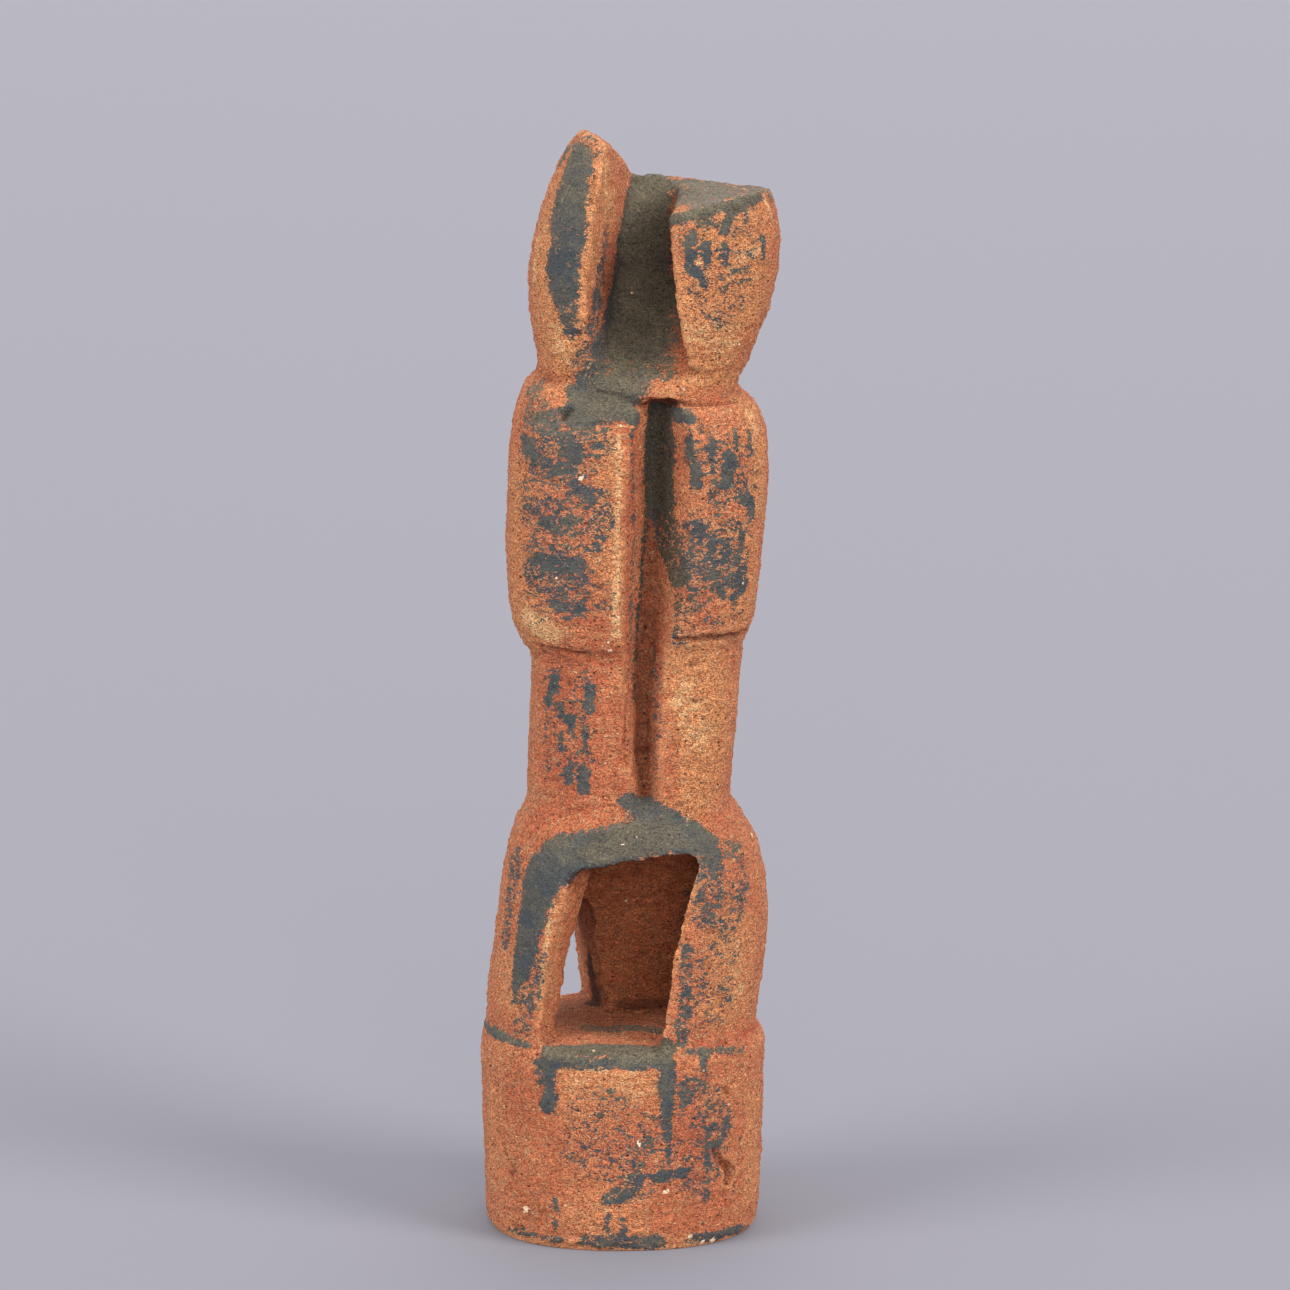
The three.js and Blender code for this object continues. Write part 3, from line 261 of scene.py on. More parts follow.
DENTS = {
    "torso foot crease, right": (1.7, [(18.8, -41.3, 248.4, 1), (30.4, -39.4, 248.9, 1.1), (40.4, -33.9, 249.2, 1.1), (47, -23.2, 249.5, 1)]),
    "torso foot crease, left": (1.3, [(-38.3, -30.9, 244.7, 1), (-27.4, -37.2, 243.3, 1), (-15.4, -38.8, 241.9, 0.9)]),
    "base, two-lobed pit left": (2.6, [(35.2, -43.2, 39.1, 1.4), (37.7, -41.1, 34.3, 2)]),
    "base, two-lobed pit right": (3.6, [(39.7, -39.1, 32.5, 1.8), (41.8, -37, 29.4, 2.2), (40.2, -38.4, 26, 1.6)]),
    "base, triangular pit": (2.2, [(39.6, -40.7, 64.6, 1.4), (41.3, -39, 62.1, 1.2)]),
    "base, pit left": (1.6, [(-47.9, -36.2, 28.4, 1.1), (-46.6, -37.6, 30, 0.7)]),
    "base, pit low right": (1.2, [(39.4, -38.9, 20.7, 1.2)]),
    "shoulder pit": (3.4, [(-25.9, -37.4, 337.8, 1.6), (-23.1, -37.1, 340.5, 1.3)]),
    "left lobe pit": (1.2, [(-7.4, -12.2, 420.1, 0.6)]),
    "neck crack": (2.4, [(2.9, -37.6, 342.2, 0.7), (12.5, -24.7, 340.8, 0.9), (22.3, -35.4, 342.7, 0.8), (28.3, -34, 342.6, 0.6), (35.4, -30.6, 342.6, 0.8), (43.1, -24, 342.3, 0.6)]),
    "neck crack, second": (1.4, [(4.5, -36.6, 343.2, 0.5), (14.4, -36.6, 344.4, 0.6)]),
    "channel crack": (1.6, [(-4, 5.9, 404.1, 0.6), (-4, 4.6, 395.3, 0.6), (-1.9, 4.2, 392.9, 0.6)]),
    "channel crack, low": (1.3, [(-7.9, -8.7, 387.2, 0.5), (-7.9, -10.1, 379.3, 0.6)]),
    "channel foot seam": (1.2, [(-12.1, -35.4, 347.1, 0.6), (-3.4, -36.7, 345.6, 0.6), (2.9, -37.3, 342.5, 0.6)]),
    "groove wall crack": (1.6, [(0.1, -36.4, 226.2, 0.6), (-1.1, -37.9, 215.9, 0.6), (-1.5, -37.7, 205.7, 0.6), (-0.7, -37.5, 198.8, 0.5)]),
    "groove wall crack, high": (1.2, [(4.9, -33, 329.7, 0.5), (5.3, -30.6, 315.5, 0.5)]),
    "pillar foot crack": (2.2, [(-9.3, 13.3, 85, 0.7), (4.4, 4.4, 85.9, 0.8), (14.4, 8.9, 85.2, 0.7)]),
    "window corner crack": (1.6, [(-25.1, -43.6, 151.5, 0.6), (-21.6, -38.5, 149.1, 0.6), (-18.1, -30.2, 145.7, 0.5)]),
    "window corner crack, second": (1.2, [(-24.3, -43.3, 154.3, 0.5), (-20.8, -39, 152.1, 0.5)]),
    "base crack left": (1, [(-50.4, -33.4, 37.6, 0.5), (-49.1, -34.9, 33.8, 0.6), (-47.1, -37.2, 31.2, 0.5)]),
    "base, horizontal nick": (0.9, [(-31.8, -47.9, 32.1, 0.5), (-28.6, -49.4, 32.9, 0.5)]),
    "jamb foot crack": (1.4, [(-35.4, -41.4, 87.2, 0.6), (-32.6, -39.9, 84.3, 0.6)]),
    "base upright cracks 1": (0.9, [(-40.9, -42.1, 17.1, 0.4), (-40.1, -42.5, 13, 0.4)]),
    "base upright cracks 2": (0.9, [(-36.8, -45, 17.9, 0.4), (-36, -45.3, 12.5, 0.4)]),
    "base upright cracks 3": (0.9, [(-33.9, -46.5, 17.1, 0.4), (-33.5, -46.4, 11.2, 0.4)]),
    "right block nick": (1, [(28.2, -38.8, 336.3, 0.5), (29.4, -40.7, 331.8, 0.5)]),
    "inner wall nicks": (1, [(-13.6, -28.6, 431.7, 0.4), (-14.3, -30.9, 426.4, 0.5), (-14.7, -32.9, 421, 0.4)]),
}
RAISED = {
    "drip bulb": (1.3, [(-32.1, -48.8, 62.6, 2.4), (-32.5, -48.5, 60.5, 3)]),
    "drip neck": (0.7, [(-32.1, -48.7, 76.7, 2.4), (-31.7, -49.2, 70.2, 1.6), (-32.1, -48.8, 65.1, 1.8)]),
    "sill pool lip": (0.8, [(-31.7, -48.1, 79.8, 2), (-21.6, -51.5, 79.9, 2), (-8.3, -51.8, 79.5, 2), (3.3, -51.8, 79.5, 2), (13.3, -52.1, 80, 2)]),
    "second streak": (0.5, [(15.3, -52.3, 78.4, 2.4), (15.7, -52.9, 71.1, 2.4), (15.3, -52.7, 62.8, 1.6), (15.3, -52.5, 55.3, 0.8)]),
    "crusty ring": (0.7, [(-42.4, -42.1, 47.1, 0.8), (-39.9, -43.9, 48.9, 0.8), (-38.7, -44.6, 46.1, 0.8), (-41.2, -42.9, 43.6, 0.8), (-42.8, -41.7, 44.9, 0.8)]),
    "chip 1": (0.9, [(-7.8, -40.4, 244.2, 1.2)]),
    "chip 2": (0.8, [(50.5, -7.7, 162.9, 1.2)]),
    "white grog": (0.8, [(-18.8, -42.9, 314.2, 1.2)]),
    "cream chips": (0.6, [(34.1, -40.6, 1.5, 1.6)]),
    "ledge band left": (0.5, [(-59.7, -3.5, 83.6, 1.2), (-54.5, -23.6, 84, 1.6), (-47.3, -35.1, 83.6, 1.4), (-39.4, -41.9, 83.2, 1.2)]),
    "smeared clay at the jamb foot": (0.9, [(-36.2, -42.4, 85.8, 1.2), (-32.7, -34, 85.3, 1)]),
    "right ledge smear": (0.8, [(30.7, -41.8, 84, 1.6), (43, -30.1, 85.2, 1.6), (52.5, -6.7, 84, 1.2)]),
    "window, torn lip": (0.7, [(-11.8, -9.2, 148.7, 0.8), (-1.7, -8.2, 150.1, 0.8), (8.5, -6.6, 151, 0.8), (18.8, -3.3, 149.9, 0.8)]),
    "torso foot burr": (0.6, [(18.4, -41, 251.5, 0.8), (28.4, -40.6, 251.9, 0.8), (38.3, -37, 252.5, 0.8), (46.5, -27.7, 252.3, 0.8)]),
}
GROG = [
    (-18.8, -42.9, 314.2, 1.4), (-7.8, -40.4, 244.2, 1.4), (10.1, -29.4, 234.3, 0.7), (21.7, -37, 214.9, 0.7), (-9.5, -37.4, 197.9, 0.6), (-2.3, -42.6, 166, 0.7), (3.3, -41.3, 168.9, 0.7), (50.5, -7.7, 162.9, 1.5), (-41.7, -41.5, 15.2, 1.5), (24.7, -47.1, 4.7, 1.6), (30, -43.3, 1.5, 1.4), (34.1, -40.6, 1.5, 1.8), (4.1, -53.7, 46.1, 1.5), (15, -51.6, 25.2, 1.5), (-47.4, -37.5, 47.1, 0.7), (18.2, -51.1, 36.3, 0.6), (13.3, -52.2, 35.8, 0.6), (-50.4, -33.7, 41.9, 0.6), (-24.5, -50.9, 40, 0.6), (28.6, -47.9, 60.7, 0.6), (40.5, -39.6, 58.1, 0.7), (2.9, -54.5, 72.8, 0.6), (21.9, -34.2, 347.7, 0.9), (-23.5, -39.7, 334.1, 0.6), (28.2, -42.1, 322.8, 0.6), (-15.2, -35.3, 383.5, 0.6), (-28.3, -30.2, 365.2, 0.6), (8.6, 8.5, 130.2, 0.7), (-15.3, 4, 133.3, 0.5), (47.1, -26.2, 98.4, 0.7), (8.6, 14.6, 107.7, 0.5), (-39.8, -33.3, 153.8, 0.5), (30.5, -34.9, 223.5, 0.6), (24.5, -35.7, 199.2, 0.6), (-26.3, -42.1, 293, 0.6), (-11.3, -43.3, 281.2, 0.6), (28.3, -42.3, 281, 0.5), (33.1, -28.6, 347.2, 0.6), (-44.1, -40.1, 35.3, 0.5), (-11.6, -53.4, 39, 0.5), (-19.6, -52.9, 63.7, 0.5), (-52.3, -32.2, 66.6, 0.5),
]


# ---------------------------------------------------------------- hand tools

def leave_all():
    bpy.ops.object.select_all(action="DESELECT")


def take(thing):
    leave_all()
    thing.select_set(True)
    bpy.context.view_layer.objects.active = thing


def settle(thing, modifier):
    take(thing)
    bpy.ops.object.modifier_apply(modifier=modifier.name)


def places(mesh):
    flat = np.empty(len(mesh.vertices) * 3, dtype=np.float32)
    mesh.vertices.foreach_get("co", flat)
    return flat.reshape(-1, 3).astype(np.float64)


def outward(mesh):
    flat = np.empty(len(mesh.vertices) * 3, dtype=np.float32)
    mesh.vertex_normals.foreach_get("vector", flat)
    return flat.reshape(-1, 3).astype(np.float64)


def put_places(mesh, spots):
    mesh.vertices.foreach_set("co", spots.astype(np.float32).ravel())
    mesh.update()


def smooth_step(low, high, value):
    t = np.clip((value - low) / (high - low), 0.0, 1.0)
    return t * t * (3.0 - 2.0 * t)


def neighbour_mean(mesh, values, rounds):
    """The values averaged over each vertex's neighbours, as often as asked."""
    pairs = np.empty(len(mesh.edges) * 2, dtype=np.int32)
    mesh.edges.foreach_get("vertices", pairs)
    a, b = pairs[0::2], pairs[1::2]
    count = len(mesh.vertices)
    degree = np.bincount(a, minlength=count) + np.bincount(b, minlength=count)
    degree = np.maximum(degree, 1)
    columns = values if values.ndim == 2 else values[:, None]
    for _ in range(rounds):
        sums = [
            np.bincount(a, weights=c[b], minlength=count) + np.bincount(b, weights=c[a], minlength=count)
            for c in columns.T
        ]
        columns = (np.stack(sums, axis=1) / degree[:, None] + columns) / 2
    return columns if values.ndim == 2 else columns[:, 0]


def depth_inside(spots, stroke):
    """How far each spot, in millimetres, lies inside a stroke: its half width less the distance."""
    points = np.array(stroke)
    best = points[0, 3] - np.linalg.norm(spots - points[0, :3], axis=1)
    for start, end in zip(points[:-1], points[1:]):
        along = end[:3] - start[:3]
        t = np.clip((spots - start[:3]) @ along / max(along @ along, 1e-9), 0.0, 1.0)
        away = np.linalg.norm(spots - start[:3] - t[:, None] * along, axis=1)
        best = np.maximum(best, start[3] + (end[3] - start[3]) * t - away)
    return best


def covered(spots, marks, soft):
    """Cover from a table of strokes, faded over `soft` of each stroke's half width."""
    cover = np.zeros(len(spots))
    for strength, stroke in marks.values():
        points = np.array(stroke)
        reach = points[:, 3].max() * 2.2 + 6
        near = np.all(
            (spots > points[:, :3].min(axis=0) - reach) & (spots < points[:, :3].max(axis=0) + reach), axis=1
        )
        if not near.any():
            continue
        width = max(0.8, soft * points[:, 3].max())
        depth = depth_inside(spots[near], stroke)
        layer = strength * smooth_step(-width, 0.35 * width, depth)
        cover[near] = 1 - (1 - cover[near]) * (1 - layer)
    return cover


def rough(spots, stretch, octaves=3, seed=0.0):
    """Fractal noise at each spot, about -1 to 1, with its grain `stretch` millimetres wide."""
    shift = Vector((seed * 13.1, seed * 7.7, seed * 3.3))
    sx, sy, sz = stretch
    return np.array(
        [
            noise.fractal(Vector((x / sx, y / sy, z / sz)) + shift, 1.0, 2.0, octaves)
            for x, y, z in spots
        ]
    )


# ---------------------------------------------------------------- the clay body

def clay_lump():
    """A copy of the CAD solid, closed up and cut into a fine even mesh."""
    take(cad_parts["figure"])
    bpy.ops.object.duplicate()
    clay = bpy.context.view_layer.objects.active
    clay.name = "stoneware_body"
    clay.data.name = "stoneware_body"
    clay.parent = None
    bpy.ops.object.mode_set(mode="EDIT")
    bpy.ops.mesh.select_all(action="SELECT")
    bpy.ops.mesh.remove_doubles(threshold=0.01 * MM)
    bpy.ops.object.mode_set(mode="OBJECT")
    fine = clay.modifiers.new("even mesh", "REMESH")
    fine.mode = "VOXEL"
    fine.voxel_size = CLAY_GRAIN
    settle(clay, fine)
    return clay


def round_the_planes(clay):
    """Works the flat facets away and softens the edges a little, as a wet hand does."""
    mesh = clay.data
    normals = outward(mesh)
    wide = neighbour_mean(mesh, normals, 5)
    wide /= np.linalg.norm(wide, axis=1)[:, None]
    turn = np.degrees(np.arccos(np.clip(np.sum(normals * wide, axis=1), -1, 1)))
    turn = neighbour_mean(mesh, turn, 2)
    flat = 1 - smooth_step(5.0, 10.0, turn)
    faces = clay.vertex_groups.new(name="broad faces")
    for level in range(0, 11):
        picked = np.nonzero(np.round(flat * 10) == level)[0]
        faces.add(picked.tolist(), level / 10, "REPLACE")
    rub = clay.modifiers.new("rubbed faces", "SMOOTH")
    rub.factor = 0.5
    rub.iterations = 30
    rub.vertex_group = faces.name
    settle(clay, rub)
    clay.vertex_groups.clear()
    fold = clay.vertex_groups.new(name="folds")
    soft = covered(places(mesh) / MM, FOLDS, 0.9)
    for level in range(1, 11):
        picked = np.nonzero(np.round(soft * 10) == level)[0]
        fold.add(picked.tolist(), level / 10, "REPLACE")
    melt = clay.modifiers.new("soft folds", "SMOOTH")
    melt.factor = 0.5
    melt.iterations = 90
    melt.vertex_group = fold.name
    settle(clay, melt)
    clay.vertex_groups.clear()


def indoors(spots):
    """1 inside the room of the skirt and its arches, 0 on the outside."""
    x, y, z = spots.T
    out = np.sqrt((x / 58.0) ** 2 + (y / 51.0) ** 2)
    return (1 - smooth_step(0.74, 0.9, out)) * smooth_step(84.0, 86.5, z) * (1 - smooth_step(163.0, 168.0, z))


def work_the_surface(clay):
    """Lumps, scraping, pits, cracks and thick slip, pushed along the surface."""
    mesh = clay.data
    spots = places(mesh) / MM
    normals = outward(mesh)
    inside = indoors(spots)
    slip = covered(spots, SLIP, 0.35)
    lumps = 0.75 * rough(spots, (34, 34, 46), 2, 1.0)
    dabs = 0.5 * rough(spots, (10, 10, 8), 2, 2.0)
    scrape = 0.34 * rough(spots, (6.5, 6.5, 2.3), 2, 3.0)
    crumb = 0.6 * rough(spots, (2.0, 2.0, 1.7), 1, 4.0)
    torn = 1.1 * rough(spots, (5.5, 5.5, 5.0), 3, 5.0) * inside
    push = lumps + dabs + (scrape + crumb) * (1 - 0.3 * slip) + torn - 0.4 + 0.2 * slip
    push += scattered_pits(spots)
    for depth, stroke in DENTS.values():
        push -= depth * smooth_step(-0.9, 1.0, depth_inside(spots, stroke))
    for height, stroke in RAISED.values():
        push += height * smooth_step(-1.2, 1.4, depth_inside(spots, stroke))
    foot = smooth_step(0.3, 3.0, spots[:, 2])
    push *= np.where(normals[:, 2] < -0.7, foot, 1.0)
    spots = spots + normals * push[:, None]
    low = np.array(cad_box[0]) / MM
    high = np.array(cad_box[1]) / MM
    spots = np.clip(spots, low + 0.02, high - 0.02)
    spots[:, 2] = np.where(spots[:, 2] < 0.9, np.maximum(0.02, spots[:, 2] - 0.3), spots[:, 2])
    put_places(mesh, spots * MM)


def scattered_pits(spots):
    """Small torn pits left where the rib dragged grog out of the clay."""
    rng = random.Random(SEED)
    push = np.zeros(len(spots))
    for _ in range(420):
        centre = spots[rng.randrange(len(spots))]
        wide = rng.uniform(0.8, 2.1)
        deep = rng.uniform(0.35, 1.1)
        if rng.random() < 0.25:
            deep *= -0.6
        near = np.all(np.abs(spots - centre) < wide * 3.2, axis=1)
        offset = (spots[near] - centre) / np.array([1.5, 1.5, 0.8])
        away = np.linalg.norm(offset, axis=1)
        push[near] -= deep * (1 - smooth_step(0.4 * wide, 1.25 * wide, away))
    return push


def thin_out(clay):
    """Fewer triangles where the clay is plain."""
    mesh = clay.data
    triangles = sum(len(p.vertices) - 2 for p in mesh.polygons)
    if triangles > MOST_TRIANGLES:
        fewer = clay.modifiers.new("fewer faces", "DECIMATE")
        fewer.ratio = MOST_TRIANGLES / triangles
        settle(clay, fewer)


def keep(mesh, name, values):
    layer = mesh.attributes.new(name, "FLOAT", "POINT")
    layer.data.foreach_set("value", values.astype(np.float32))


def lay_the_finishes(clay):
    """Where slip, pale clay, red clay with painted shade on the groove wall, and wear lie, and where painted shade
    darkens creases, dents, the room and the far jamb, kept on the mesh for the material.
    """
    mesh = clay.data
    spots = places(mesh) / MM
    normals = outward(mesh)
    bent = np.sum((spots - neighbour_mean(mesh, spots, 1)) * normals, axis=1)
    bent = neighbour_mean(mesh, bent, 1)
    broad = np.sum((spots - neighbour_mean(mesh, spots, 12)) * normals, axis=1)
    broad = neighbour_mean(mesh, broad, 2)
    keep(mesh, "slip", covered(spots, SLIP, 0.35))
    keep(mesh, "pale", covered(spots, PALE, 0.5))
    keep(mesh, "red", covered(spots, RED, 0.7))
    keep(mesh, "worn", smooth_step(0.02, 0.2, bent) * 0.5 + smooth_step(0.12, 0.8, broad) * 0.7)
    # painted shade: concave creases and hollows, darkened in the material
    keep(mesh, "painted_crease_shade", smooth_step(0.02, 0.25, -bent) * 0.6 + smooth_step(0.1, 0.7, -broad) * 0.6)
    # mask for painted shade inside the skirt's room
    keep(mesh, "indoors", indoors(spots))
    keep(mesh, "ochre", covered(spots, OCHRE, 0.8))
    keep(mesh, "olive", covered(spots, OLIVE, 0.6))
    keep(mesh, "deep", covered(spots, DEEP_PAINTED_SHADE, 0.5))
    # painted shade: the sunk cracks, creases and pits, darkened in the material
    dent_shades = [smooth_step(-0.9, 0.5, depth_inside(spots, stroke)) * min(1, depth / 2) for depth, stroke in DENTS.values()]
    keep(mesh, "painted_dent_shade", np.max(dent_shades, axis=0))
    keep(mesh, "upward", smooth_step(0.05, 0.7, neighbour_mean(mesh, normals[:, 2], 3)))
    dots = np.full(len(spots), 0.0)
    for x, y, z, half in GROG:
        away = np.linalg.norm(spots - np.array([x, y, z]), axis=1)
        dots = np.maximum(dots, np.clip(1 + (half - away) / 1.5, 0, 1))
    keep(mesh, "grog", dots)


# ---------------------------------------------------------------- materials

def srgb(red, green, blue):
    def linear(c):
        c /= 255
        return c / 12.92 if c <= 0.04045 else ((c + 0.055) / 1.055) ** 2.4

    return (linear(red), linear(green), linear(blue), 1.0)


class Recipe:
    """A node tree with short words for what goes into it."""

    def __init__(self, tree):
        self.tree = tree

    def node(self, kind, inputs=None, **settings):
        made = self.tree.nodes.new(kind)
        for key, value in settings.items():
            setattr(made, key, value)
        for key, value in (inputs or {}).items():
            self.feed(made.inputs[key], value)
        return made

    def feed(self, socket, value):
        if isinstance(value, bpy.types.NodeSocket):
            self.tree.links.new(value, socket)
        else:
            socket.default_value = value

    def math(self, operation, a, b=0.0, clamp=False):
        made = self.node("ShaderNodeMath", operation=operation, use_clamp=clamp)
        self.feed(made.inputs[0], a)
        self.feed(made.inputs[1], b)
        return made.outputs[0]

    def times(self, a, b):
        return self.math("MULTIPLY", a, b)

    def plus(self, a, b):
        return self.math("ADD", a, b)

    def less(self, a, b):
        return self.math("SUBTRACT", a, b)

    def ramp(self, value, low, high, to_low=0.0, to_high=1.0):
        made = self.node("ShaderNodeMapRange", interpolation_type="SMOOTHSTEP")
        for key, v in zip(("Value", "From Min", "From Max", "To Min", "To Max"), (value, low, high, to_low, to_high)):
            self.feed(made.inputs[key], v)
        return made.outputs["Result"]

    def blend(self, share, first, second, kind="MIX"):
        made = self.node("ShaderNodeMix", data_type="RGBA", blend_type=kind)
        self.feed(made.inputs["Factor"], share)
        self.feed(made.inputs[6], first)
        self.feed(made.inputs[7], second)
        return made.outputs[2]

    def attribute(self, name):
        return self.node("ShaderNodeAttribute", attribute_name=name).outputs["Fac"]

    def place(self, stretch=(1, 1, 1)):
        """Object coordinates in millimetres, divided by a stretch along each axis."""
        scale = tuple(1 / MM / s for s in stretch)
        at = self.node("ShaderNodeTexCoord").outputs["Object"]
        return self.node("ShaderNodeMapping", {"Vector": at, "Scale": scale}).outputs["Vector"]

    def cloud(self, vector, detail=2.0, roughness=0.5, distortion=0.0):
        made = self.node("ShaderNodeTexNoise", {"Vector": vector, "Scale": 1.0, "Detail": detail,
                                                "Roughness": roughness, "Distortion": distortion})
        return made.outputs["Fac"]

    def cells(self, vector, randomness=1.0):
        return self.node("ShaderNodeTexVoronoi", {"Vector": vector, "Scale": 1.0, "Randomness": randomness})


def group(name, inputs, outputs):
    tree = bpy.data.node_groups.new(name, "ShaderNodeTree")
    for label, value in inputs.items():
        kind = "NodeSocketColor" if isinstance(value, tuple) else "NodeSocketFloat"
        tree.interface.new_socket(label, in_out="INPUT", socket_type=kind).default_value = value
    for label, kind in outputs.items():
        tree.interface.new_socket(label, in_out="OUTPUT", socket_type=kind)
    recipe = Recipe(tree)
    return recipe, recipe.node("NodeGroupInput").outputs, recipe.node("NodeGroupOutput").inputs


def grogged_clay():
    """Scraped, coarse clay: drag lines, fine grit, curled crumbs, torn pits and stray grog."""
    r, given, out = group(
        "scraped grogged clay",
        {"Crumb": 1.0},
        {"Height": "NodeSocketFloat", "Crumbs": "NodeSocketFloat", "Painted crevice shade": "NodeSocketFloat",
         "Pits": "NodeSocketFloat", "Grog": "NodeSocketFloat", "Cloud": "NodeSocketFloat", "Grain": "NodeSocketFloat"},
    )
    drag = r.cloud(r.place((6.0, 6.0, 1.0)), 3.0, 0.6, 0.6)
    grit = r.cloud(r.place((0.62, 0.62, 0.5)), 2.0, 0.7)
    maze = r.cloud(r.place((1.0, 1.0, 0.72)), 1.5, 0.55, 1.2)
    curl = r.cloud(r.place((2.7, 2.7, 1.9)), 1.0, 0.5, 1.6)
    line = r.ramp(r.math("ABSOLUTE", r.less(curl, 0.5)), 0.008, 0.04, 1.0, 0.0)
    broken = r.ramp(r.cloud(r.place((3.6, 3.6, 2.6)), 1.0), 0.48, 0.6)
    dash = r.cloud(r.place((1.25, 1.25, 0.85)), 1.0, 0.5, 1.0)
    short = r.ramp(r.math("ABSOLUTE", r.less(dash, 0.5)), 0.006, 0.03, 1.0, 0.0)
    few = r.ramp(r.cloud(r.place((1.9, 1.9, 1.5)), 1.0), 0.5, 0.58)
    crumbs = r.math("MAXIMUM", r.times(line, broken), r.times(r.times(short, few), 0.8))
    # painted shade for the narrow hollows of the maze, used only in the colour
    painted_crevice_shade = r.ramp(maze, 0.36, 0.46, 1.0, 0.0)
    grain = r.ramp(r.plus(r.times(grit, 0.55), r.times(maze, 0.45)), 0.41, 0.59)
    holes = r.cells(r.place((3.3, 3.3, 2.2)))
    chosen = r.ramp(r.node("ShaderNodeSeparateColor", {"Color": holes.outputs["Color"]}).outputs[0], 0.76, 0.8)
    pits = r.times(r.ramp(holes.outputs["Distance"], 0.08, 0.26, 1.0, 0.0), chosen)
    stones = r.cells(r.place((6.8, 6.8, 6.8)))
    rare = r.ramp(r.node("ShaderNodeSeparateColor", {"Color": stones.outputs["Color"]}).outputs[1], 0.93, 0.94)
    grog = r.times(r.ramp(stones.outputs["Distance"], 0.06, 0.11, 1.0, 0.0), rare)
    cloud = r.cloud(r.place((24, 24, 17)), 3.0, 0.6)
    height = r.plus(r.times(drag, 0.7), r.times(maze, 0.9))
    height = r.plus(height, r.times(grit, 0.6))
    height = r.plus(height, r.times(r.times(crumbs, 0.6), given["Crumb"]))
    height = r.plus(r.less(height, r.times(pits, 0.9)), r.times(grog, 0.5))
    for label, value in (("Height", height), ("Crumbs", crumbs), ("Painted crevice shade", painted_crevice_shade), ("Pits", pits), ("Grog", grog), ("Cloud", cloud), ("Grain", grain)):
        r.feed(out[label], value)
    return r.tree


def ragged_cover():
    """A cover of 0 to 1 broken up by the clay's own scraping, so that its edge is ragged."""
    r, given, out = group("ragged cover", {"Cover": 0.0, "Crisp": 0.06}, {"Mask": "NodeSocketFloat"})
    wide = r.cloud(r.place((5.2, 5.2, 3.4)), 2.0, 0.6, 0.8)
    lines = r.cloud(r.place((2.1, 2.1, 1.4)), 2.0, 0.6, 1.2)
    fine = r.cloud(r.place((0.85, 0.85, 0.7)), 2.0, 0.6)
    mixed = r.plus(r.plus(r.times(wide, 0.36), r.times(lines, 0.4)), r.times(fine, 0.24))
    spread = r.ramp(mixed, 0.375, 0.625)
    edge = r.less(r.times(given["Cover"], 1.04), spread)
    mask = r.node("ShaderNodeMapRange", {"Value": edge, "From Min": r.times(given["Crisp"], -1.0), "From Max": given["Crisp"]},
                  interpolation_type="SMOOTHSTEP")
    r.feed(out["Mask"], mask.outputs["Result"])
    return r.tree


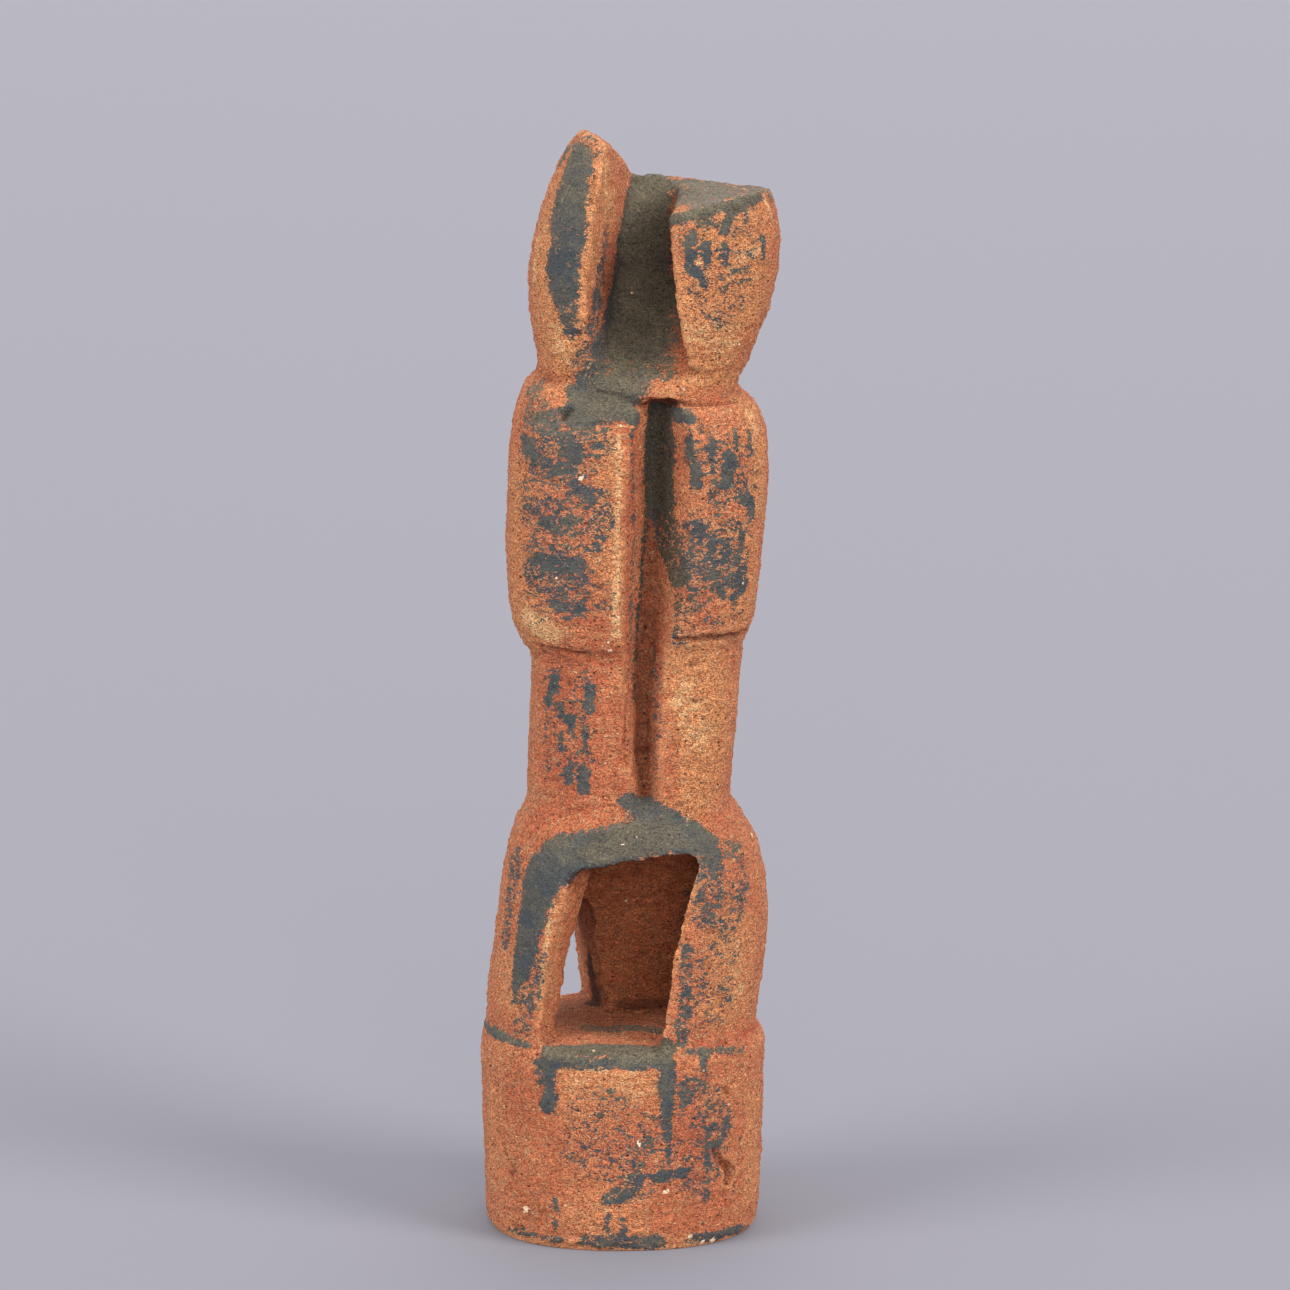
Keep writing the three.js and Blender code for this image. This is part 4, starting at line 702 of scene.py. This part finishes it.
def fired_clay():
    """Iron-red stoneware with crumbs of lighter clay brightened as painted highlight, painted shade in crevices, pits,
    creases, dents and recesses, dark matt slip rubbed thin, and pale scum.
    """
    material = bpy.data.materials.new("fired grogged clay with worn slip")
    material.use_nodes = True
    r = Recipe(material.node_tree)
    material.node_tree.nodes.clear()
    clay = r.node("ShaderNodeGroup", node_tree=grogged_clay()).outputs
    cover = ragged_cover()

    def ragged(amount, crisp):
        return r.node("ShaderNodeGroup", {"Cover": amount, "Crisp": crisp}, node_tree=cover).outputs[0]

    slip_amount = r.attribute("slip")
    slip = ragged(slip_amount, 0.04)
    haze = r.times(r.ramp(slip_amount, 0.15, 0.95), 0.2)
    slip = r.math("MAXIMUM", slip, haze)
    pale = ragged(r.attribute("pale"), 0.14)
    ochre = r.attribute("ochre")
    red = r.attribute("red")
    worn = r.attribute("worn")
    painted_crease_shade = r.attribute("painted_crease_shade")
    inside = r.attribute("indoors")
    upward = r.attribute("upward")
    olive = r.attribute("olive")
    deep = r.attribute("deep")
    grain = clay["Grain"]
    body = r.blend(grain, srgb(138, 68, 44), srgb(222, 140, 94))
    body = r.blend(r.times(r.ramp(clay["Cloud"], 0.38, 0.62), 0.4), body, srgb(176, 84, 54))
    body = r.blend(r.times(ochre, 0.7), body, r.blend(grain, srgb(156, 90, 54), srgb(236, 166, 106)))
    # redder clay, and on the groove wall painted shade
    body = r.blend(r.times(red, 0.6), body, r.blend(grain, srgb(136, 54, 34), srgb(194, 92, 60)))
    body = r.blend(r.times(worn, 0.5), body, srgb(230, 162, 108))
    body = r.blend(r.times(pale, 0.75), body, r.blend(grain, srgb(206, 148, 98), srgb(244, 204, 148)))
    # crumbs of lighter clay, pushed lighter still as painted highlight on their raised tops
    body = r.blend(r.times(clay["Crumbs"], r.less(0.9, r.times(red, 0.25))), body, srgb(246, 196, 142))
    # painted shade in the crevices of the clay
    body = r.blend(r.times(clay["Painted crevice shade"], 0.5), body, srgb(100, 44, 30))
    # painted shade inside the torn pits
    body = r.blend(r.times(clay["Pits"], 0.85), body, srgb(58, 26, 18))
    # painted shade darkens the concave creases
    body = r.blend(r.times(painted_crease_shade, 0.55), body, srgb(92, 40, 26))
    # painted shade: the inside of the skirt's room takes a darker, warmer clay tone
    body = r.blend(r.times(inside, 0.5), body, r.blend(grain, srgb(134, 68, 38), srgb(196, 112, 66)))
    # painted shade on the far jamb and pillar foot in the arch
    body = r.blend(r.times(deep, 0.85), body, r.blend(grain, srgb(34, 18, 12), srgb(70, 38, 26)))
    patchy = r.ramp(r.cloud(r.place((9, 9, 7)), 2.0), 0.4, 0.62)
    tint = r.blend(patchy, srgb(62, 68, 72), srgb(80, 79, 73))
    tint = r.blend(r.times(olive, 0.85), tint, r.blend(grain, srgb(48, 42, 34), srgb(92, 82, 62)))
    dusty = r.times(upward, r.ramp(r.cloud(r.place((14, 14, 11)), 2.0), 0.3, 0.6, 0.35, 1.0))
    tint = r.blend(dusty, tint, r.blend(grain, srgb(84, 78, 64), srgb(116, 106, 84)))
    # painted shade in the crevices under the slip
    tint = r.blend(r.times(clay["Painted crevice shade"], 0.6), tint, srgb(34, 31, 29))
    # crumbs in the slip: lighter slip, with painted highlight on their raised tops
    tint = r.blend(r.times(clay["Crumbs"], 0.6), tint, srgb(146, 134, 108))
    colour = r.blend(slip, body, tint)
    # painted shade in the cracks, creases and pits
    colour = r.blend(r.times(r.attribute("painted_dent_shade"), 0.85), colour, srgb(58, 22, 15))
    stones = r.math("MAXIMUM", clay["Grog"], r.ramp(r.attribute("grog"), 0.86, 0.97))
    colour = r.blend(stones, colour, srgb(246, 214, 178))
    roughness = r.blend(slip, (0.93, 0.93, 0.93, 1), (0.72, 0.72, 0.72, 1))
    height = r.plus(r.times(clay["Height"], r.less(1.0, r.times(slip, 0.3))), r.times(slip, 0.25))
    bump = r.node("ShaderNodeBump", {"Height": height, "Strength": 1.0, "Distance": 1.5 * MM})
    glaze = r.node("ShaderNodeBsdfPrincipled", {"Base Color": colour, "Normal": bump.outputs["Normal"],
                                               "Specular IOR Level": 0.3})
    r.feed(glaze.inputs["Roughness"], r.node("ShaderNodeRGBToBW", {"Color": roughness}).outputs[0])
    r.node("ShaderNodeOutputMaterial", {"Surface": glaze.outputs["BSDF"]})
    return material


# ---------------------------------------------------------------- floor, light and camera

def plain_floor():
    leave_all()
    bpy.ops.mesh.primitive_plane_add(size=60)
    floor = bpy.context.view_layer.objects.active
    floor.name = "floor"
    paint = bpy.data.materials.new("pale studio floor")
    paint.use_nodes = True
    shader = paint.node_tree.nodes["Principled BSDF"]
    shader.inputs["Base Color"].default_value = srgb(126, 125, 132)
    shader.inputs["Roughness"].default_value = 0.9
    shader.inputs["Specular IOR Level"].default_value = 0.1
    floor.data.materials.append(paint)


def soft_light(name, place, angle, power, tint=(1, 1, 1)):
    """A wide soft box far away, shining from `place` towards the figure."""
    light = bpy.data.lights.new(name, "SUN")
    light.angle = math.radians(angle)
    light.energy = power
    light.color = tint
    lamp = bpy.data.objects.new(name, light)
    bpy.context.scene.collection.objects.link(lamp)
    lamp.location = place
    lamp.rotation_euler = Vector(place).to_track_quat("Z", "Y").to_euler()


def studio():
    soft_light("key, right", (1.75, -1.15, 1.15), 30, 3.1, (1, 0.985, 0.96))
    soft_light("second, left", (-1.9, -1.1, 1.1), 36, 2.6)
    soft_light("front", (0.25, -2.0, 0.62), 30, 1.25, (1, 0.97, 0.93))
    soft_light("back", (0.3, 2.0, 1.3), 70, 1.2)
    world = bpy.data.worlds.new("studio air")
    world.use_nodes = True
    world.node_tree.nodes["Background"].inputs["Color"].default_value = (0.93, 0.94, 1.0, 1)
    world.node_tree.nodes["Background"].inputs["Strength"].default_value = 0.95
    bpy.context.scene.world = world
    bpy.context.scene.view_settings.view_transform = "Standard"


def eye():
    camera = bpy.data.cameras.new("camera")
    camera.sensor_width = 36
    camera.lens = 128.5
    camera.clip_end = 100
    stand = bpy.data.objects.new("camera", camera)
    bpy.context.scene.collection.objects.link(stand)
    stand.location = (0.0065, -1.8478, 0.539)
    stand.rotation_euler = (math.radians(90 - 9.19), 0, 0)
    bpy.context.scene.camera = stand


eye()
plain_floor()
studio()
body = clay_lump()
round_the_planes(body)
work_the_surface(body)
thin_out(body)
lay_the_finishes(body)
body.data.materials.clear()
body.data.materials.append(fired_clay())
take(body)
bpy.ops.object.shade_smooth()
leave_all()
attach(body, "root")
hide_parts("figure")
